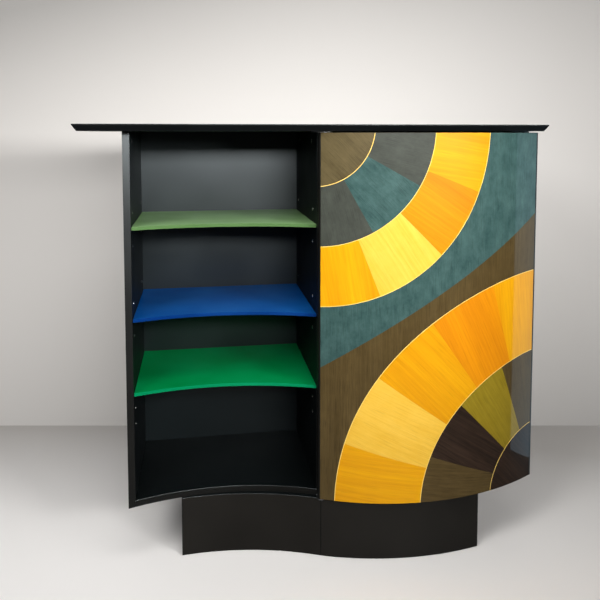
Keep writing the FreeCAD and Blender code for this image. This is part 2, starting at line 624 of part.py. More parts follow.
CROSS_BOARDS = {
    "left_plinth_end": (PLINTH_LEFT, f"{PLINTH_LEFT} + {BOARD}"),
    "left_plinth_seam_board": (f"0 - {BOARD}", "0"),
    "right_plinth_seam_board": ("0", BOARD),
    "right_plinth_end": (f"{PLINTH_RIGHT} - {BOARD}", PLINTH_RIGHT),
}
for name, across in CROSS_BOARDS.items():
    blank = box(f"{name}_blank", across, PLINTH_DEPTH, PLINTH_Z)
    if name.startswith("left"):
        shaped = cut(f"{name}_shaped", blank, hollow_rear)
    else:
        shaped = common(f"{name}_shaped", blank, swell_rear)
    drilled(name, shaped, plinth_dowel_holes)
RAIL_Y = (f"{PLINTH_BACK} - {BOARD}", PLINTH_BACK)
piece(box("left_plinth_rail", (f"{PLINTH_LEFT} + {BOARD}", f"0 - {BOARD}"), RAIL_Y, PLINTH_Z))
piece(box("right_plinth_rail", (BOARD, f"{PLINTH_RIGHT} - {BOARD}"), RAIL_Y, PLINTH_Z))

doc.recompute()
glide_spots = []
for name, x in zip(CROSS_BOARDS, cross_boards):
    extent = doc.getObject(name).Shape.BoundBox
    for y in (extent.YMin + size("glide_inset"), extent.YMax - size("glide_inset")):
        glide_spots.append(spot(x, y - pivot_y, size("glide_height"), UPWARDS))
piece(group("floor_glides", glide, glide_spots))


# Door: veneers on a core, with a round lipping on the axis and a thin one on the free edge. The strike discs
# lie in pockets through the inner veneer into the core.
def pie(name, radius, start, sweep):
    """A slice of a disc about the bow's centre, as high as the door."""
    wedge = cylinder(name, radius, *BOW_PLACE, DOOR_FOOT, DOOR_HEAD)
    wedge.setExpression("Angle", sweep)
    wedge.setExpression("Placement.Rotation.Angle", start)
    return wedge


def bowed_sheet(name, inner, outer, start, sweep):
    return cut(name, pie(f"{name}_outside", outer, start, sweep), pie(f"{name}_inside", inner, start, sweep))


FACE_INNER = f"{DOOR_OUTER} - dims.veneer"
BACK_OUTER = f"{DOOR_INNER} + dims.veneer"
CORE_OUTER = f"{FACE_INNER} - dims.glue_line"
CORE_INNER = f"{BACK_OUTER} + dims.glue_line"
FACE_SWEEP = f"{SWEEP} - {TIP_LIP}"
CORE_START = f"{HINGE_ANGLE} + {HINGE_LIP}"
piece(bowed_sheet("door_marquetry_face", FACE_INNER, DOOR_OUTER, HINGE_ANGLE, FACE_SWEEP))

inner_radius = size("bow_radius") - size("door_thickness") / 2
strike_spots = catch_spots(inner_radius, -outwards)
strike_holes = group("strike_holes", strike_hole, strike_spots)
piece(group("door_strike_discs", strike, strike_spots))
core_sheet = bowed_sheet("door_core_sheet", CORE_INNER, CORE_OUTER, CORE_START, f"{FACE_SWEEP} - {HINGE_LIP}")
piece(cut("door_core", core_sheet, strike_holes))
inner_sheet = bowed_sheet("door_inner_sheet", DOOR_INNER, BACK_OUTER, HINGE_ANGLE, FACE_SWEEP)
piece(cut("door_inner_veneer", inner_sheet, strike_holes))

nose = cylinder("hinge_nose", "dims.door_thickness / 2", "0", "0", DOOR_FOOT, DOOR_HEAD)
nose.setExpression("Angle", "180 deg")
nose.setExpression("Placement.Rotation.Angle", LEAN)
hinge_strip = bowed_sheet("hinge_strip", CORE_INNER, CORE_OUTER, HINGE_ANGLE, HINGE_LIP)
lipping_blank = fuse("hinge_lipping_blank", hinge_strip, nose)
BUSH_RADIUS = "dims.bush_diameter / 2"
BUSHES = {
    "upper": (f"({DOOR_HEAD} - dims.bush_length)", DOOR_HEAD),
    "lower": (DOOR_FOOT, f"({DOOR_FOOT} + dims.bush_length)"),
}
bush_bores = []
for end, span in BUSHES.items():
    rod = cylinder(f"{end}_bush_rod", BUSH_RADIUS, "0", "0", *span)
    piece(cut(f"{end}_door_bush", rod, pivot_bore))
    bush_bores.append(cylinder(f"{end}_bush_bore", f"{BUSH_RADIUS} + dims.fit_gap", "0", "0", *span))
drilled("door_hinge_lipping", lipping_blank, *bush_bores)

TIP_START = f"{HINGE_ANGLE} + {FACE_SWEEP}"
tip_blank = bowed_sheet("tip_lipping_blank", DOOR_INNER, DOOR_OUTER, TIP_START, TIP_LIP)
doc.recompute()
uprights = []
for number, edge in enumerate(tip_blank.Shape.Edges, start=1):
    start, end = (vertex.Point for vertex in edge.Vertexes)
    if abs(start.z - end.z) > size("tip_lipping"):
        from_centre = start - Vector(float(bow_centre.X), float(bow_centre.Y), start.z)
        uprights.append((from_centre.getAngle(Vector(1, 0, 0)), number))
free_edges = [number for angle, number in sorted(uprights)[:2]]
tip = doc.addObject("Part::Fillet", "door_tip_lipping")
tip.Base = tip_blank
tip.Edges = [(number, size("tip_round"), size("tip_round")) for number in free_edges]
piece(tip)

doc.recompute()
for obj in doc.Objects:
    if "Invalid" in obj.State or "Error" in obj.State:
        raise RuntimeError(f"{obj.Label} did not compute")
os.makedirs("parts", exist_ok=True)
for obj in pieces:
    if obj.Shape.isNull() or not obj.Shape.isValid():
        raise RuntimeError(f"{obj.Label} has no valid shape")
    obj.Shape.exportStep(f"parts/{obj.Label}.step")
    print(f"{obj.Label}: {len(obj.Shape.Solids)} solid(s), {obj.Shape.Volume / 1000:.1f} cm3")
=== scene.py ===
# %% Load the construction model
import json
import math

import bmesh
import bpy
from mathutils import Matrix, Vector, geometry


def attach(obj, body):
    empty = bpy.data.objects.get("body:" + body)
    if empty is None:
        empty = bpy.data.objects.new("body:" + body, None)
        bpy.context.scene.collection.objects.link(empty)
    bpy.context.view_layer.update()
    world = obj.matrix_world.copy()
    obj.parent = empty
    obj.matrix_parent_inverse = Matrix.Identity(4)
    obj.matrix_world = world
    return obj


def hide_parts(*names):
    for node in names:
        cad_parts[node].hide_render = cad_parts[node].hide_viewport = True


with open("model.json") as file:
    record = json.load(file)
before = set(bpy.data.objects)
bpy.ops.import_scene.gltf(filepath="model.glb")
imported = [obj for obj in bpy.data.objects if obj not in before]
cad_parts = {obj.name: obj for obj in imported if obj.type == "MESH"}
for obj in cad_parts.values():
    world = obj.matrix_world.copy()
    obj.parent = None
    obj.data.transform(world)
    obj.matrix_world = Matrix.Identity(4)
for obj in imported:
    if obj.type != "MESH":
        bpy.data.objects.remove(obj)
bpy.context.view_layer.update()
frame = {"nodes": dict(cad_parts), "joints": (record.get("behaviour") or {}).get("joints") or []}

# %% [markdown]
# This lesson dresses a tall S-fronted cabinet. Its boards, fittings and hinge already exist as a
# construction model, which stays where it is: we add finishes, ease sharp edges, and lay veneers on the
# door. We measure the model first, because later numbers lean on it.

nodes = frame["nodes"]
pivot = Vector(frame["joints"][0]["pos_m"])
print("the door turns about x, y =", [round(value, 4) for value in pivot.xy])

# %% [markdown]
# **The camera.** The picture was taken from a little left of the middle seam, at about the height of the
# top, with the lens tipped down a few degrees. The picture is cut from the lower part of a larger one, so
# the lens points at a row above its middle. A lens shift says just that.

# %% Camera
PICTURE_SIDE = 600
LENS_ROW = 176
FOCAL_PIXELS = 638.6
SENSOR_WIDTH = 36.0
CAMERA_LEFT = 0.3622
CAMERA_BACK = 1.8573
CAMERA_HEIGHT = 1.3035
CAMERA_TURN = math.radians(-9.097)
CAMERA_TIP = math.radians(3.816)


def in_scene(name, data):
    """A new object, linked to the scene."""
    made = bpy.data.objects.new(name, data)
    bpy.context.scene.collection.objects.link(made)
    return made


lens = bpy.data.cameras.new("camera")
lens.sensor_width = SENSOR_WIDTH
lens.lens = SENSOR_WIDTH * FOCAL_PIXELS / PICTURE_SIDE
lens.shift_y = (LENS_ROW - PICTURE_SIDE / 2) / PICTURE_SIDE
camera = in_scene("camera", lens)
camera.location = (pivot.x - CAMERA_LEFT, pivot.y - CAMERA_BACK, CAMERA_HEIGHT)
camera.rotation_euler = (math.pi / 2 - CAMERA_TIP, 0, CAMERA_TURN)
bpy.context.scene.camera = camera
bpy.context.scene.view_settings.view_transform = "Standard"
print("lens in millimetres:", round(lens.lens, 1))

# %% [markdown]
# **Materials as small graphs.** Every finish here is a graph of nodes, so we write a few helpers once.
# `graph` makes a material with a Principled shader. `feed` sets a node's inputs, and `add` makes a node
# and feeds it.

# %% Material helpers
NOISE_LOW, NOISE_HIGH = 0.3, 0.7


def graph(name):
    """A new material, its node tree and its Principled shader."""
    material = bpy.data.materials.new(name)
    material.use_nodes = True
    tree = material.node_tree
    shader = next(item for item in tree.nodes if item.type == "BSDF_PRINCIPLED")
    return material, tree, shader


def feed(node, inputs):
    """Sets a node's inputs by name or number. A value that is a socket is linked."""
    for key, value in dict(inputs).items():
        if isinstance(value, bpy.types.NodeSocket):
            node.id_data.links.new(value, node.inputs[key])
        else:
            node.inputs[key].default_value = value


def add(tree, kind, inputs=(), **settings):
    """One new node with its settings, fed with inputs."""
    made = tree.nodes.new(kind)
    for key, value in settings.items():
        setattr(made, key, value)
    feed(made, inputs)
    return made


def steps(tree, factor, *stops):
    """A colour ramp through (place, colour) stops."""
    ramp = add(tree, "ShaderNodeValToRGB", {"Fac": factor})
    for element, (at, colour) in zip(ramp.color_ramp.elements, stops):
        element.position = at
        element.color = (*colour, 1.0)
    return ramp.outputs["Color"]


def span(tree, value, low, high):
    """A noise value, which mostly lies between its two bounds, stretched to run from low to high."""
    made = add(tree, "ShaderNodeMapRange", {"Value": value, "From Min": NOISE_LOW, "From Max": NOISE_HIGH,
                                            "To Min": low, "To Max": high})
    return made.outputs["Result"]


def tones(tree, value, dark, light):
    """A noise value as a colour from dark to light."""
    return steps(tree, value, (NOISE_LOW, dark), (NOISE_HIGH, light))


def stretched(tree, source, scale):
    """Coordinates scaled by axis, so that a noise on them runs longer one way."""
    return add(tree, "ShaderNodeMapping", {"Vector": source, "Scale": scale}).outputs["Vector"]


def noise(tree, source, scale, detail=2.0, roughness=0.5):
    made = add(tree, "ShaderNodeTexNoise",
               {"Vector": source, "Scale": scale, "Detail": detail, "Roughness": roughness})
    return made.outputs["Fac"]


def relief(tree, shader, height, strength, distance):
    bump = add(tree, "ShaderNodeBump", {"Height": height, "Strength": strength, "Distance": distance})
    feed(shader, {"Normal": bump.outputs["Normal"]})


# %% [markdown]
# ** Black lacquer.** The boards are sprayed in a satin black. It is never one flat black: the film lies a
# little thicker here and there, which changes the gloss, and it has the fine ripple that painters call
# orange peel. Broad noise drives the roughness, and fine noise drives a very shallow bump. Not all faces
# are alike: the insides are matt and painted darker as shade in the bays, the back panel is glossier, the
# slab is darker and bluer, the plinth is painted lighter and browner as light from the bright floor, and
# arrises are rubbed glossy by hands and cloths and painted lighter as a highlight.

# %% Black lacquer
COOL = (0.88, 0.97, 1.0, 1.0)
FILM_CLOUDS = 5.0
PEEL_SCALE = 420.0
PEEL_STRENGTH = 0.04
PEEL_DEPTH = 0.0004


def black_lacquer(name, dark, light, gloss, film):
    """A black between two tones, from its lowest to its highest roughness, with the film's refraction."""
    material, tree, shader = graph(name)
    place = add(tree, "ShaderNodeTexCoord").outputs["Object"]
    cloud = noise(tree, place, FILM_CLOUDS, detail=4.0)
    feed(shader, {"Base Color": tones(tree, cloud, dark, light), "Roughness": span(tree, cloud, *gloss),
                  "IOR": film, "Specular Tint": COOL})
    relief(tree, shader, noise(tree, place, PEEL_SCALE, detail=1.0), PEEL_STRENGTH, PEEL_DEPTH)
    return material


# Painted light in this table: the inside tone is darker as painted shade, the plinth tone is lighter as
# painted light from the floor, and the rubbed tone is lighter as a painted highlight.
BLACKS = {
    "satin_black": ((0.0048, 0.0042, 0.0034), (0.0072, 0.0064, 0.0054), (0.31, 0.37), 1.5),
    "back_lacquer": ((0.0008, 0.0030, 0.0036), (0.0020, 0.0046, 0.0054), (0.31, 0.37), 1.70),
    "inner_shaded_lacquer": ((0.0006, 0.0014, 0.0015), (0.0016, 0.0026, 0.0029), (0.50, 0.58), 1.28),
    "slab_lacquer": ((0.0022, 0.0026, 0.0030), (0.0038, 0.0042, 0.0048), (0.33, 0.39), 1.38),
    "plinth_floor_lit_lacquer": ((0.0108, 0.0088, 0.0069), (0.0154, 0.0128, 0.0102), (0.34, 0.40), 1.5),
    "rubbed_highlight_lacquer": ((0.0060, 0.0060, 0.0058), (0.0100, 0.0100, 0.0098), (0.22, 0.28), 1.9),
}
LACQUERS = {name: black_lacquer(name, *values) for name, values in BLACKS.items()}
print("lacquers made:", ", ".join(LACQUERS))

# %% [markdown]
# **Dyed veneers.** The door's face is laid from dyed veneers under a thick polished clear coat. A veneer
# has long pores along the grain, soft bands across it, and in figured woods a mottle. All of them read the
# face's UV map, which we will turn piece by piece, so that each piece's grain runs its own way. The clear
# coat is the shader's own coat layer, smooth over a softer wood.

# %% Veneers
BAND_GRAIN, FIBRE_GRAIN = (11.0, 0.9, 1.0), (150.0, 3.0, 1.0)
FIGURE_GRAIN, PORE_GRAIN = (26.0, 17.0, 1.0), (700.0, 16.0, 1.0)


def veneer(name, dark, light, mottle, band, pores):
    """A veneer whose grain runs along V: its two tones, and how strong its mottle, bands and pores are."""
    material, tree, shader = graph(name)
    flat = add(tree, "ShaderNodeUVMap", uv_map="grain").outputs["UV"]
    bands = noise(tree, stretched(tree, flat, BAND_GRAIN), 1.0, detail=3.0)
    fibres = noise(tree, stretched(tree, flat, FIBRE_GRAIN), 1.0, detail=3.0)
    figure = noise(tree, stretched(tree, flat, FIGURE_GRAIN), 1.0, detail=6.0, roughness=0.7)
    pore = noise(tree, stretched(tree, flat, PORE_GRAIN), 1.0, detail=1.0)
    tone = add(tree, "ShaderNodeMix", {"Factor": 1.0 - band, "A": bands, "B": fibres}).outputs["Result"]
    tone = add(tree, "ShaderNodeMix", {"Factor": mottle, "A": tone, "B": figure}).outputs["Result"]
    colour = steps(tree, tone, (0.32, dark), (0.68, light))
    shade = steps(tree, pore, (0.34, (1.0 - pores,) * 3), (0.46, (1.0, 1.0, 1.0)))
    mixed = add(tree, "ShaderNodeMix", {"Factor": 1.0, "A": colour, "B": shade},
                data_type="RGBA", blend_type="MULTIPLY")
    feed(shader, {"Base Color": mixed.outputs["Result"], "Roughness": span(tree, fibres, 0.36, 0.5),
                  "IOR": 1.2, "Coat Weight": 1.0, "Coat Roughness": 0.025, "Coat IOR": 1.5})
    return material


WOODS = {
    "amber": ((0.63, 0.236, 0.002), (0.82, 0.40, 0.004), 0.0, 0.65, 0.10),
    "orange": ((0.59, 0.18, 0.002), (0.765, 0.28, 0.003), 0.0, 0.6, 0.10),
    "yellow": ((0.745, 0.41, 0.028), (0.885, 0.56, 0.084), 0.3, 0.5, 0.10),
    "olive": ((0.054, 0.034, 0.010), (0.108, 0.072, 0.025), 0.3, 0.5, 0.3),
    "moss": ((0.205, 0.138, 0.006), (0.31, 0.228, 0.017), 0.25, 0.5, 0.2),
    "umber": ((0.014, 0.008, 0.005), (0.042, 0.024, 0.015), 0.0, 0.4, 0.4),
    "teal": ((0.021, 0.056, 0.053), (0.061, 0.122, 0.112), 0.8, 0.5, 0.25),
    "slate": ((0.038, 0.042, 0.033), (0.067, 0.073, 0.060), 0.7, 0.5, 0.2),
    "taupe": ((0.075, 0.056, 0.024), (0.126, 0.096, 0.043), 0.5, 0.5, 0.25),
    "stringing": ((0.90, 0.55, 0.10), (0.98, 0.72, 0.22), 0.0, 0.5, 0.05),
}
VENEERS = {wood: veneer(f"veneer_{wood}", *values) for wood, values in WOODS.items()}
print("veneers made:", ", ".join(VENEERS))

# %% [markdown]
# ** Eased boards.** The construction model's edges are perfectly sharp, and a real board's never are:
# sanding and lacquer leave an arris of about a millimetre, which catches a thin line of light. We copy a
# board's mesh, weld its loose triangles, clear the flat edges away, and bevel only the long arrises, so
# that drilled holes keep their shape. Edges by the let-in pivot plate stay sharp too, because they would
# choke the bevel. Rounded faces are rubbed glossy and painted lighter as a highlight, except in the seam
# between the plinths, which is painted dark as shade.

# %% Ease the arrises of a board
WELD = 0.0001
FLAT = math.radians(0.3)
ARRIS = math.radians(30)
CRISP = math.radians(60)
HOLE_EDGE = 0.0045
LET_IN = {"bottom_panel": 0.0146}
SEAM = {"left_plinth_front": 0.002, "right_plinth_front": 0.002}
MATT_SHADE, RUBBED_HIGHLIGHT = 1, 2


def dressed(name, mesh, node_names, body="cabinet"):
    """Puts a mesh in the scene as a piece that stands for construction nodes."""
    piece = in_scene(name, mesh)
    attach(piece, body)
    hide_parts(*node_names)
    return piece


def by_plate(node_name, vertices):
    """Whether one of the vertices lies by the pivot plate that is let into a board."""
    return any((vertex.co.xy - pivot.xy).length < LET_IN.get(node_name, 0.0) for vertex in vertices)


def round_arrises(form, node_name, ease):
    """Bevels the long arrises of a board and gives the rounded faces that aren't by the plate."""
    arrises = [edge for edge in form.edges
               if edge.calc_length() > HOLE_EDGE and edge.calc_face_angle() > ARRIS
               and not by_plate(node_name, edge.verts)]
    made = bmesh.ops.bevel(form, geom=arrises, offset=ease, segments=3, profile=0.5, affect="EDGES",
                           clamp_overlap=True)
    return {face for face in made["faces"] if not by_plate(node_name, face.verts)}


def eased(node_name, ease, materials, sort, body="cabinet", rubbed_highlight=False):
    """A copy of a board with its long arrises rounded. sort picks a face's material by number."""
    form = bmesh.new()
    form.from_mesh(nodes[node_name].data)
    bmesh.ops.remove_doubles(form, verts=form.verts, dist=WELD)
    bmesh.ops.dissolve_limit(form, angle_limit=FLAT, verts=form.verts, edges=form.edges)
    rounded = round_arrises(form, node_name, ease)
    form.normal_update()
    for edge in form.edges:
        edge.smooth = edge.calc_face_angle(0.0) < CRISP
    for face in form.faces:
        face.smooth = True
        face.material_index = sort(face)
        # Rounded faces get a painted highlight; in the plinths' seam they get painted shade instead.
        if rubbed_highlight and face in rounded:
            in_seam = abs(face.calc_center_median().x - pivot.x) < SEAM.get(node_name, 0.0)
            face.material_index = MATT_SHADE if in_seam else RUBBED_HIGHLIGHT
    mesh = bpy.data.meshes.new(f"{node_name}_eased")
    form.to_mesh(mesh)
    form.free()
    for material in materials:
        mesh.materials.append(material)
    piece = dressed(f"{node_name}_eased", mesh, [node_name], body)
    piece.modifiers.new("flat_faces", "WEIGHTED_NORMAL").keep_sharp = True


# %% [markdown]
# ** One table for all boards.** Each row says how far a board's arrises are eased, which lacquer is on its
# outside, which on its matt sides, and which way those sides point. The matt sides are painted darker as
# shade. The plinth's top is matt as well: where it stands out under the bottom panel, it shows as a dark
# line of painted shade.

# %% Ease the boards
SQUARE_ON = 0.9
RIGHTWARDS, LEFTWARDS = Vector((1, 0, 0)), Vector((-1, 0, 0))
FORWARDS, BACKWARDS = Vector((0, -1, 0)), Vector((0, 1, 0))
UPWARDS, DOWNWARDS = Vector((0, 0, 1)), Vector((0, 0, -1))
BOARDS = {
    "top_slab": (0.0014, "slab_lacquer", "inner_shaded_lacquer", ()),
    "left_side_panel": (0.0009, "satin_black", "inner_shaded_lacquer", (RIGHTWARDS,)),
    "right_side_panel": (0.0009, "satin_black", "inner_shaded_lacquer", (LEFTWARDS,)),
    "centre_partition": (0.0009, "satin_black", "inner_shaded_lacquer", (LEFTWARDS, RIGHTWARDS)),
    "bottom_panel": (0.0010, "satin_black", "inner_shaded_lacquer", (UPWARDS,)),
    "back_panel": (0.0007, "satin_black", "back_lacquer", (FORWARDS,)),
}
PLINTH = {
    # The top of the plinth front takes the darker inside tone, a painted shade line under the bottom panel.
    "front": (0.0009, (UPWARDS,)),
    "end": (0.0007, ()),
    "seam_board": (0.0007, ()),
    "rail": (0.0007, ()),
}
for part, (ease, sides) in PLINTH.items():
    for half in ("left", "right"):
        BOARDS[f"{half}_plinth_{part}"] = (ease, "plinth_floor_lit_lacquer", "inner_shaded_lacquer", sides)
for board, (ease, outside, inside, sides) in BOARDS.items():
    finishes = [LACQUERS[outside], LACQUERS[inside], LACQUERS["rubbed_highlight_lacquer"]]
    eased(board, ease, finishes, rubbed_highlight=True,
          sort=lambda face: int(any(face.normal.dot(side) > SQUARE_ON for side in sides)))
print("boards eased:", len(BOARDS))

# %% [markdown]
# ** Tinted shelves.** Each bay has three shelves of tinted glass: light green, blue and green. They let
# little light through and mirror almost nothing, so they get body colour and a very faint gloss. Light on
# its way to an edge passes more of the tint, so the edges get a painted tone of their own that stands for
# that light, mostly deeper than the faces. We sort the faces by the way they point.

# %% Tinted glass
FAINT_GLOSS = 1.025
SHELF_EASE = 0.0008
BODY_ROUGH, EDGE_ROUGH, ROUGH_RANGE = 0.10, 0.20, 0.04
TINT_CLOUDS, WEAR_MARKS = 7.0, 40.0


def tinted_glass(name, dark, light, roughness):
    material, tree, shader = graph(name)
    place = add(tree, "ShaderNodeTexCoord").outputs["Object"]
    cloud = noise(tree, place, TINT_CLOUDS)
    wear = span(tree, noise(tree, place, WEAR_MARKS), roughness, roughness + ROUGH_RANGE)
    feed(shader, {"Base Color": tones(tree, cloud, dark, light), "Roughness": wear, "IOR": FAINT_GLOSS})
    return material


def body_or_edge(face):
    return 0 if abs(face.normal.z) > SQUARE_ON else 1


# The edge tones are painted: they stand for light passing through the glass to its edges.
GLASS = {
    "light_green": (((0.19, 0.34, 0.135), (0.23, 0.40, 0.17)),
                    ((0.075, 0.150, 0.050), (0.090, 0.175, 0.062))),
    "blue": (((0.003, 0.060, 0.24), (0.006, 0.080, 0.29)), ((0.002, 0.026, 0.135), (0.004, 0.038, 0.170))),
    "green": (((0.0, 0.19, 0.045), (0.001, 0.235, 0.065)), ((0.001, 0.19, 0.070), (0.003, 0.23, 0.090))),
}
LEVELS = {"upper": "light_green", "middle": "blue", "lower": "green"}
for level, tint in LEVELS.items():
    body_tones, edge_tones = GLASS[tint]
    finishes = [tinted_glass(f"glass_{tint}", *body_tones, BODY_ROUGH),
                tinted_glass(f"glass_{tint}_edge", *edge_tones, EDGE_ROUGH)]
    for bay in ("left", "right"):
        eased(f"{bay}_{level}_shelf", SHELF_EASE, finishes, body_or_edge)
print("shelves dressed:", 2 * len(LEVELS))

# %% [markdown]
# **The bowed face.** The door's face is a part of a cylinder. Three of its corners lie on the outer arc,
# and a circle through them gives the bow's centre and radius. Unrolled, the face is a rectangle as long as
# the arc, and on that rectangle we can draw with a ruler and a compass.

# %% Measure the door's face
INSET = 0.0001
face_corners = [vertex.co.copy() for vertex in nodes["door_marquetry_face"].data.vertices]
hinge_corner = min(face_corners, key=lambda corner: corner.x)
middle_line = min(face_corners, key=lambda corner: corner.y)
tip_corner = max(face_corners, key=lambda corner: corner.x)


def circle_through(first, second, third):
    """Centre and radius of the circle through three points of the plan."""
    rows = [other.xy - first.xy for other in (second, third)]
    rights = [(other.xy.length_squared - first.xy.length_squared) / 2 for other in (second, third)]
    centre = Matrix(rows).inverted() @ Vector(rights)
    return centre, (first.xy - centre).length


bow_centre, outer_radius = circle_through(hinge_corner, middle_line, tip_corner)
bow_radius = outer_radius - INSET
start_angle = math.atan2(hinge_corner.y - bow_centre.y, hinge_corner.x - bow_centre.x)
end_angle = math.atan2(tip_corner.y - bow_centre.y, tip_corner.x - bow_centre.x)
face_foot = min(corner.z for corner in face_corners)
face_height = max(corner.z for corner in face_corners) - face_foot
face_width = bow_radius * (end_angle - start_angle)
print("face, unrolled:", round(face_width, 4), "by", round(face_height, 4), "bow", round(bow_radius, 4))

# %% [markdown]
# **A fan of veneers.** Fans are an old marquetry pattern: rings of wedges round a corner. We draw two of
# them, in the lower right and the upper left corner, and part the rest by one seam. A wedge is two arcs
# joined at their ends. Its grain runs outwards, as in a sunburst. Pale stringing marks the arcs.

# %% Draw the fans
ARC_STEP = math.radians(2.0)
STRING = 0.0020
leaves = []


def leaf(wood, corners, grain):
    """One piece of veneer: its wood, its outline on the unrolled face, and the angle of its grain."""
    leaves.append((wood, corners, grain))


def arc(centre, radius, start, end):
    count = max(2, math.ceil(abs(end - start) / ARC_STEP))
    angles = [start + (end - start) * step / count for step in range(count + 1)]
    return [(centre[0] + radius * math.cos(angle), centre[1] + radius * math.sin(angle)) for angle in angles]


def fan(centre, start, end, rings):
    """Rings of equal wedges. Each ring is its inner and outer radius and the woods of its wedges."""
    for inner, outer, woods in rings:
        width = (end - start) / len(woods)
        for number, wood in enumerate(woods):
            low = start + number * width
            corners = arc(centre, outer, low, low + width) + arc(centre, inner, low + width, low)
            leaf(wood, corners, low + width / 2)
    for inner, outer, woods in rings:
        line = arc(centre, outer + STRING / 2, start, end) + arc(centre, outer - STRING / 2, end, start)
        leaf("stringing", line, start)


CORNER_OUT = 0.02
SEAM_LOW = 0.34
SEAM_HIGH = 0.80
OVER = 0.05
UPRIGHT = math.radians(90)
left, right, below, above = -OVER, face_width + OVER, -OVER, face_height + OVER
seam_left = (left, face_height * SEAM_LOW)
seam_right = (right, face_height * SEAM_HIGH)
leaf("teal", [seam_left, seam_right, (right, above), (left, above)], UPRIGHT)
leaf("olive", [(left, below), (right, below), seam_right, seam_left], UPRIGHT)
fan((face_width + CORNER_OUT, -CORNER_OUT), math.radians(88), math.radians(182), (
    (0.0, 0.20, ("umber",)),
    (0.20, 0.44, ("olive", "moss", "umber", "olive")),
    (0.44, 0.70, ("amber", "orange", "amber", "yellow", "amber")),
))
fan((-CORNER_OUT, face_height + CORNER_OUT), math.radians(268), math.radians(362), (
    (0.0, 0.18, ("taupe",)),
    (0.18, 0.36, ("slate", "teal", "slate")),
    (0.36, 0.54, ("amber", "yellow", "orange", "amber")),
))
print("pieces of veneer drawn:", len(leaves))

# %% [markdown]
# **From drawing to cells.** Blender can cut overlapping outlines into one clean set of faces with a
# constrained Delaunay triangulation. It also says which outlines each new face lies in, and the last one
# drawn wins. Fine upright lines are cut in too, so that the flat drawing can be bent round the bow.

# %% Cut the drawing
COLUMN = 0.012
ARRIS_SIZE = 0.0005
FACES_NOT_TRIANGLES = 4
CUT_TOLERANCE = 1e-7
column_count = math.ceil(face_width / COLUMN)
columns = [face_width * step / column_count for step in range(1, column_count)]
bottom, top = ARRIS_SIZE, face_height - ARRIS_SIZE


def cut_drawing():
    """The unrolled face cut into cells: corner places, faces, and the leaf that each face shows."""
    points = []
    outlines = []
    frame_corners = [(0.0, bottom), (face_width, bottom), (face_width, top), (0.0, top)]
    for corners in [frame_corners] + [corners for wood, corners, grain in leaves]:
        outlines.append(list(range(len(points), len(points) + len(corners))))
        points += corners
    lines = []
    for across in columns:
        lines.append((len(points), len(points) + 1))
        points += [(across, bottom), (across, top)]
    cut = geometry.delaunay_2d_cdt([Vector(point) for point in points], lines, outlines,
                                   FACES_NOT_TRIANGLES, CUT_TOLERANCE)
    places, faces, origins = cut[0], cut[2], cut[5]
    kept = [(face, max(origin) - 1) for face, origin in zip(faces, origins)
            if 0 in origin and len(origin) > 1]
    used = sorted({index for face, number in kept for index in face})
    renumbered = {old: new for new, old in enumerate(used)}
    cells = [([renumbered[old] for old in face], number) for face, number in kept]
    return [places[old] for old in used], cells


places, cells = cut_drawing()
print("cells:", len(cells))

# %% [markdown]
# **Bending the cells.** Each corner of a cell goes round the bow and gets the true normal of the cylinder,
# so that the gloss shows no facets. Its UV is turned to the leaf's grain and moved to a stretch of its
# own, so that no two leaves look cut from the same spot of a log.

# %% Lay the veneers on the bow
LEAF_SHIFT = (3.7, 1.3)
WOOD_NAMES = list(VENEERS)
corners, faces, slots, normals, grains = [], [], [], [], []


def on_bow(across, up, depth=0.0):
    """A place of the unrolled face, bent round the bow, depth below its surface."""
    angle = start_angle + across / bow_radius
    reach = bow_radius - depth
    return Vector((bow_centre.x + reach * math.cos(angle), bow_centre.y + reach * math.sin(angle),
                   face_foot + up))


def outwards(across):
    angle = start_angle + across / bow_radius
    return Vector((math.cos(angle), math.sin(angle), 0))


def with_grain(point, number):
    """UV of a point of the drawing, turned so that V runs along the leaf's grain."""
    grain = leaves[number][2]
    along = point[0] * math.cos(grain) + point[1] * math.sin(grain)
    across = point[0] * math.sin(grain) - point[1] * math.cos(grain)
    return across + LEAF_SHIFT[0] * number, along + LEAF_SHIFT[1] * number


corners += [on_bow(*place) for place in places]
for cell, number in cells:
    drawing = [places[index] for index in cell]
    faces.append(cell)
    slots.append(WOOD_NAMES.index(leaves[number][0]))
    normals += [outwards(point[0]) for point in drawing]
    grains += [with_grain(point, number) for point in drawing]
print("corners bent round the bow:", len(corners))

# %% [markdown]
# **Closing the sheet.** The cut face is open. We carry each point of its rim back through the sheet: over
# a small arris at the head and foot, straight back at the sides. Then strips of faces close the inside.

# %% Edges of the veneer sheet
SHEET = 0.001
ON_RIM = 1e-6
DIGITS = 6
rims = {}
for side, axis, edge in (("foot", 1, bottom), ("head", 1, top), ("hinge", 0, 0.0), ("tip", 0, face_width)):
    rims[side] = sorted((place[1 - axis], index) for index, place in enumerate(places)
                        if abs(place[axis] - edge) < ON_RIM)


def carried_back(across, up, depth):
    """A new corner below the face's surface, by its number."""
    corners.append(on_bow(across, up, depth))
    return len(corners) - 1


def strip(indices, facing):
    """A face of plain dark wood with one normal."""
    faces.append(indices)
    slots.append(WOOD_NAMES.index("umber"))
    normals.extend([facing] * len(indices))
    grains.extend([(0.0, 0.0)] * len(indices))


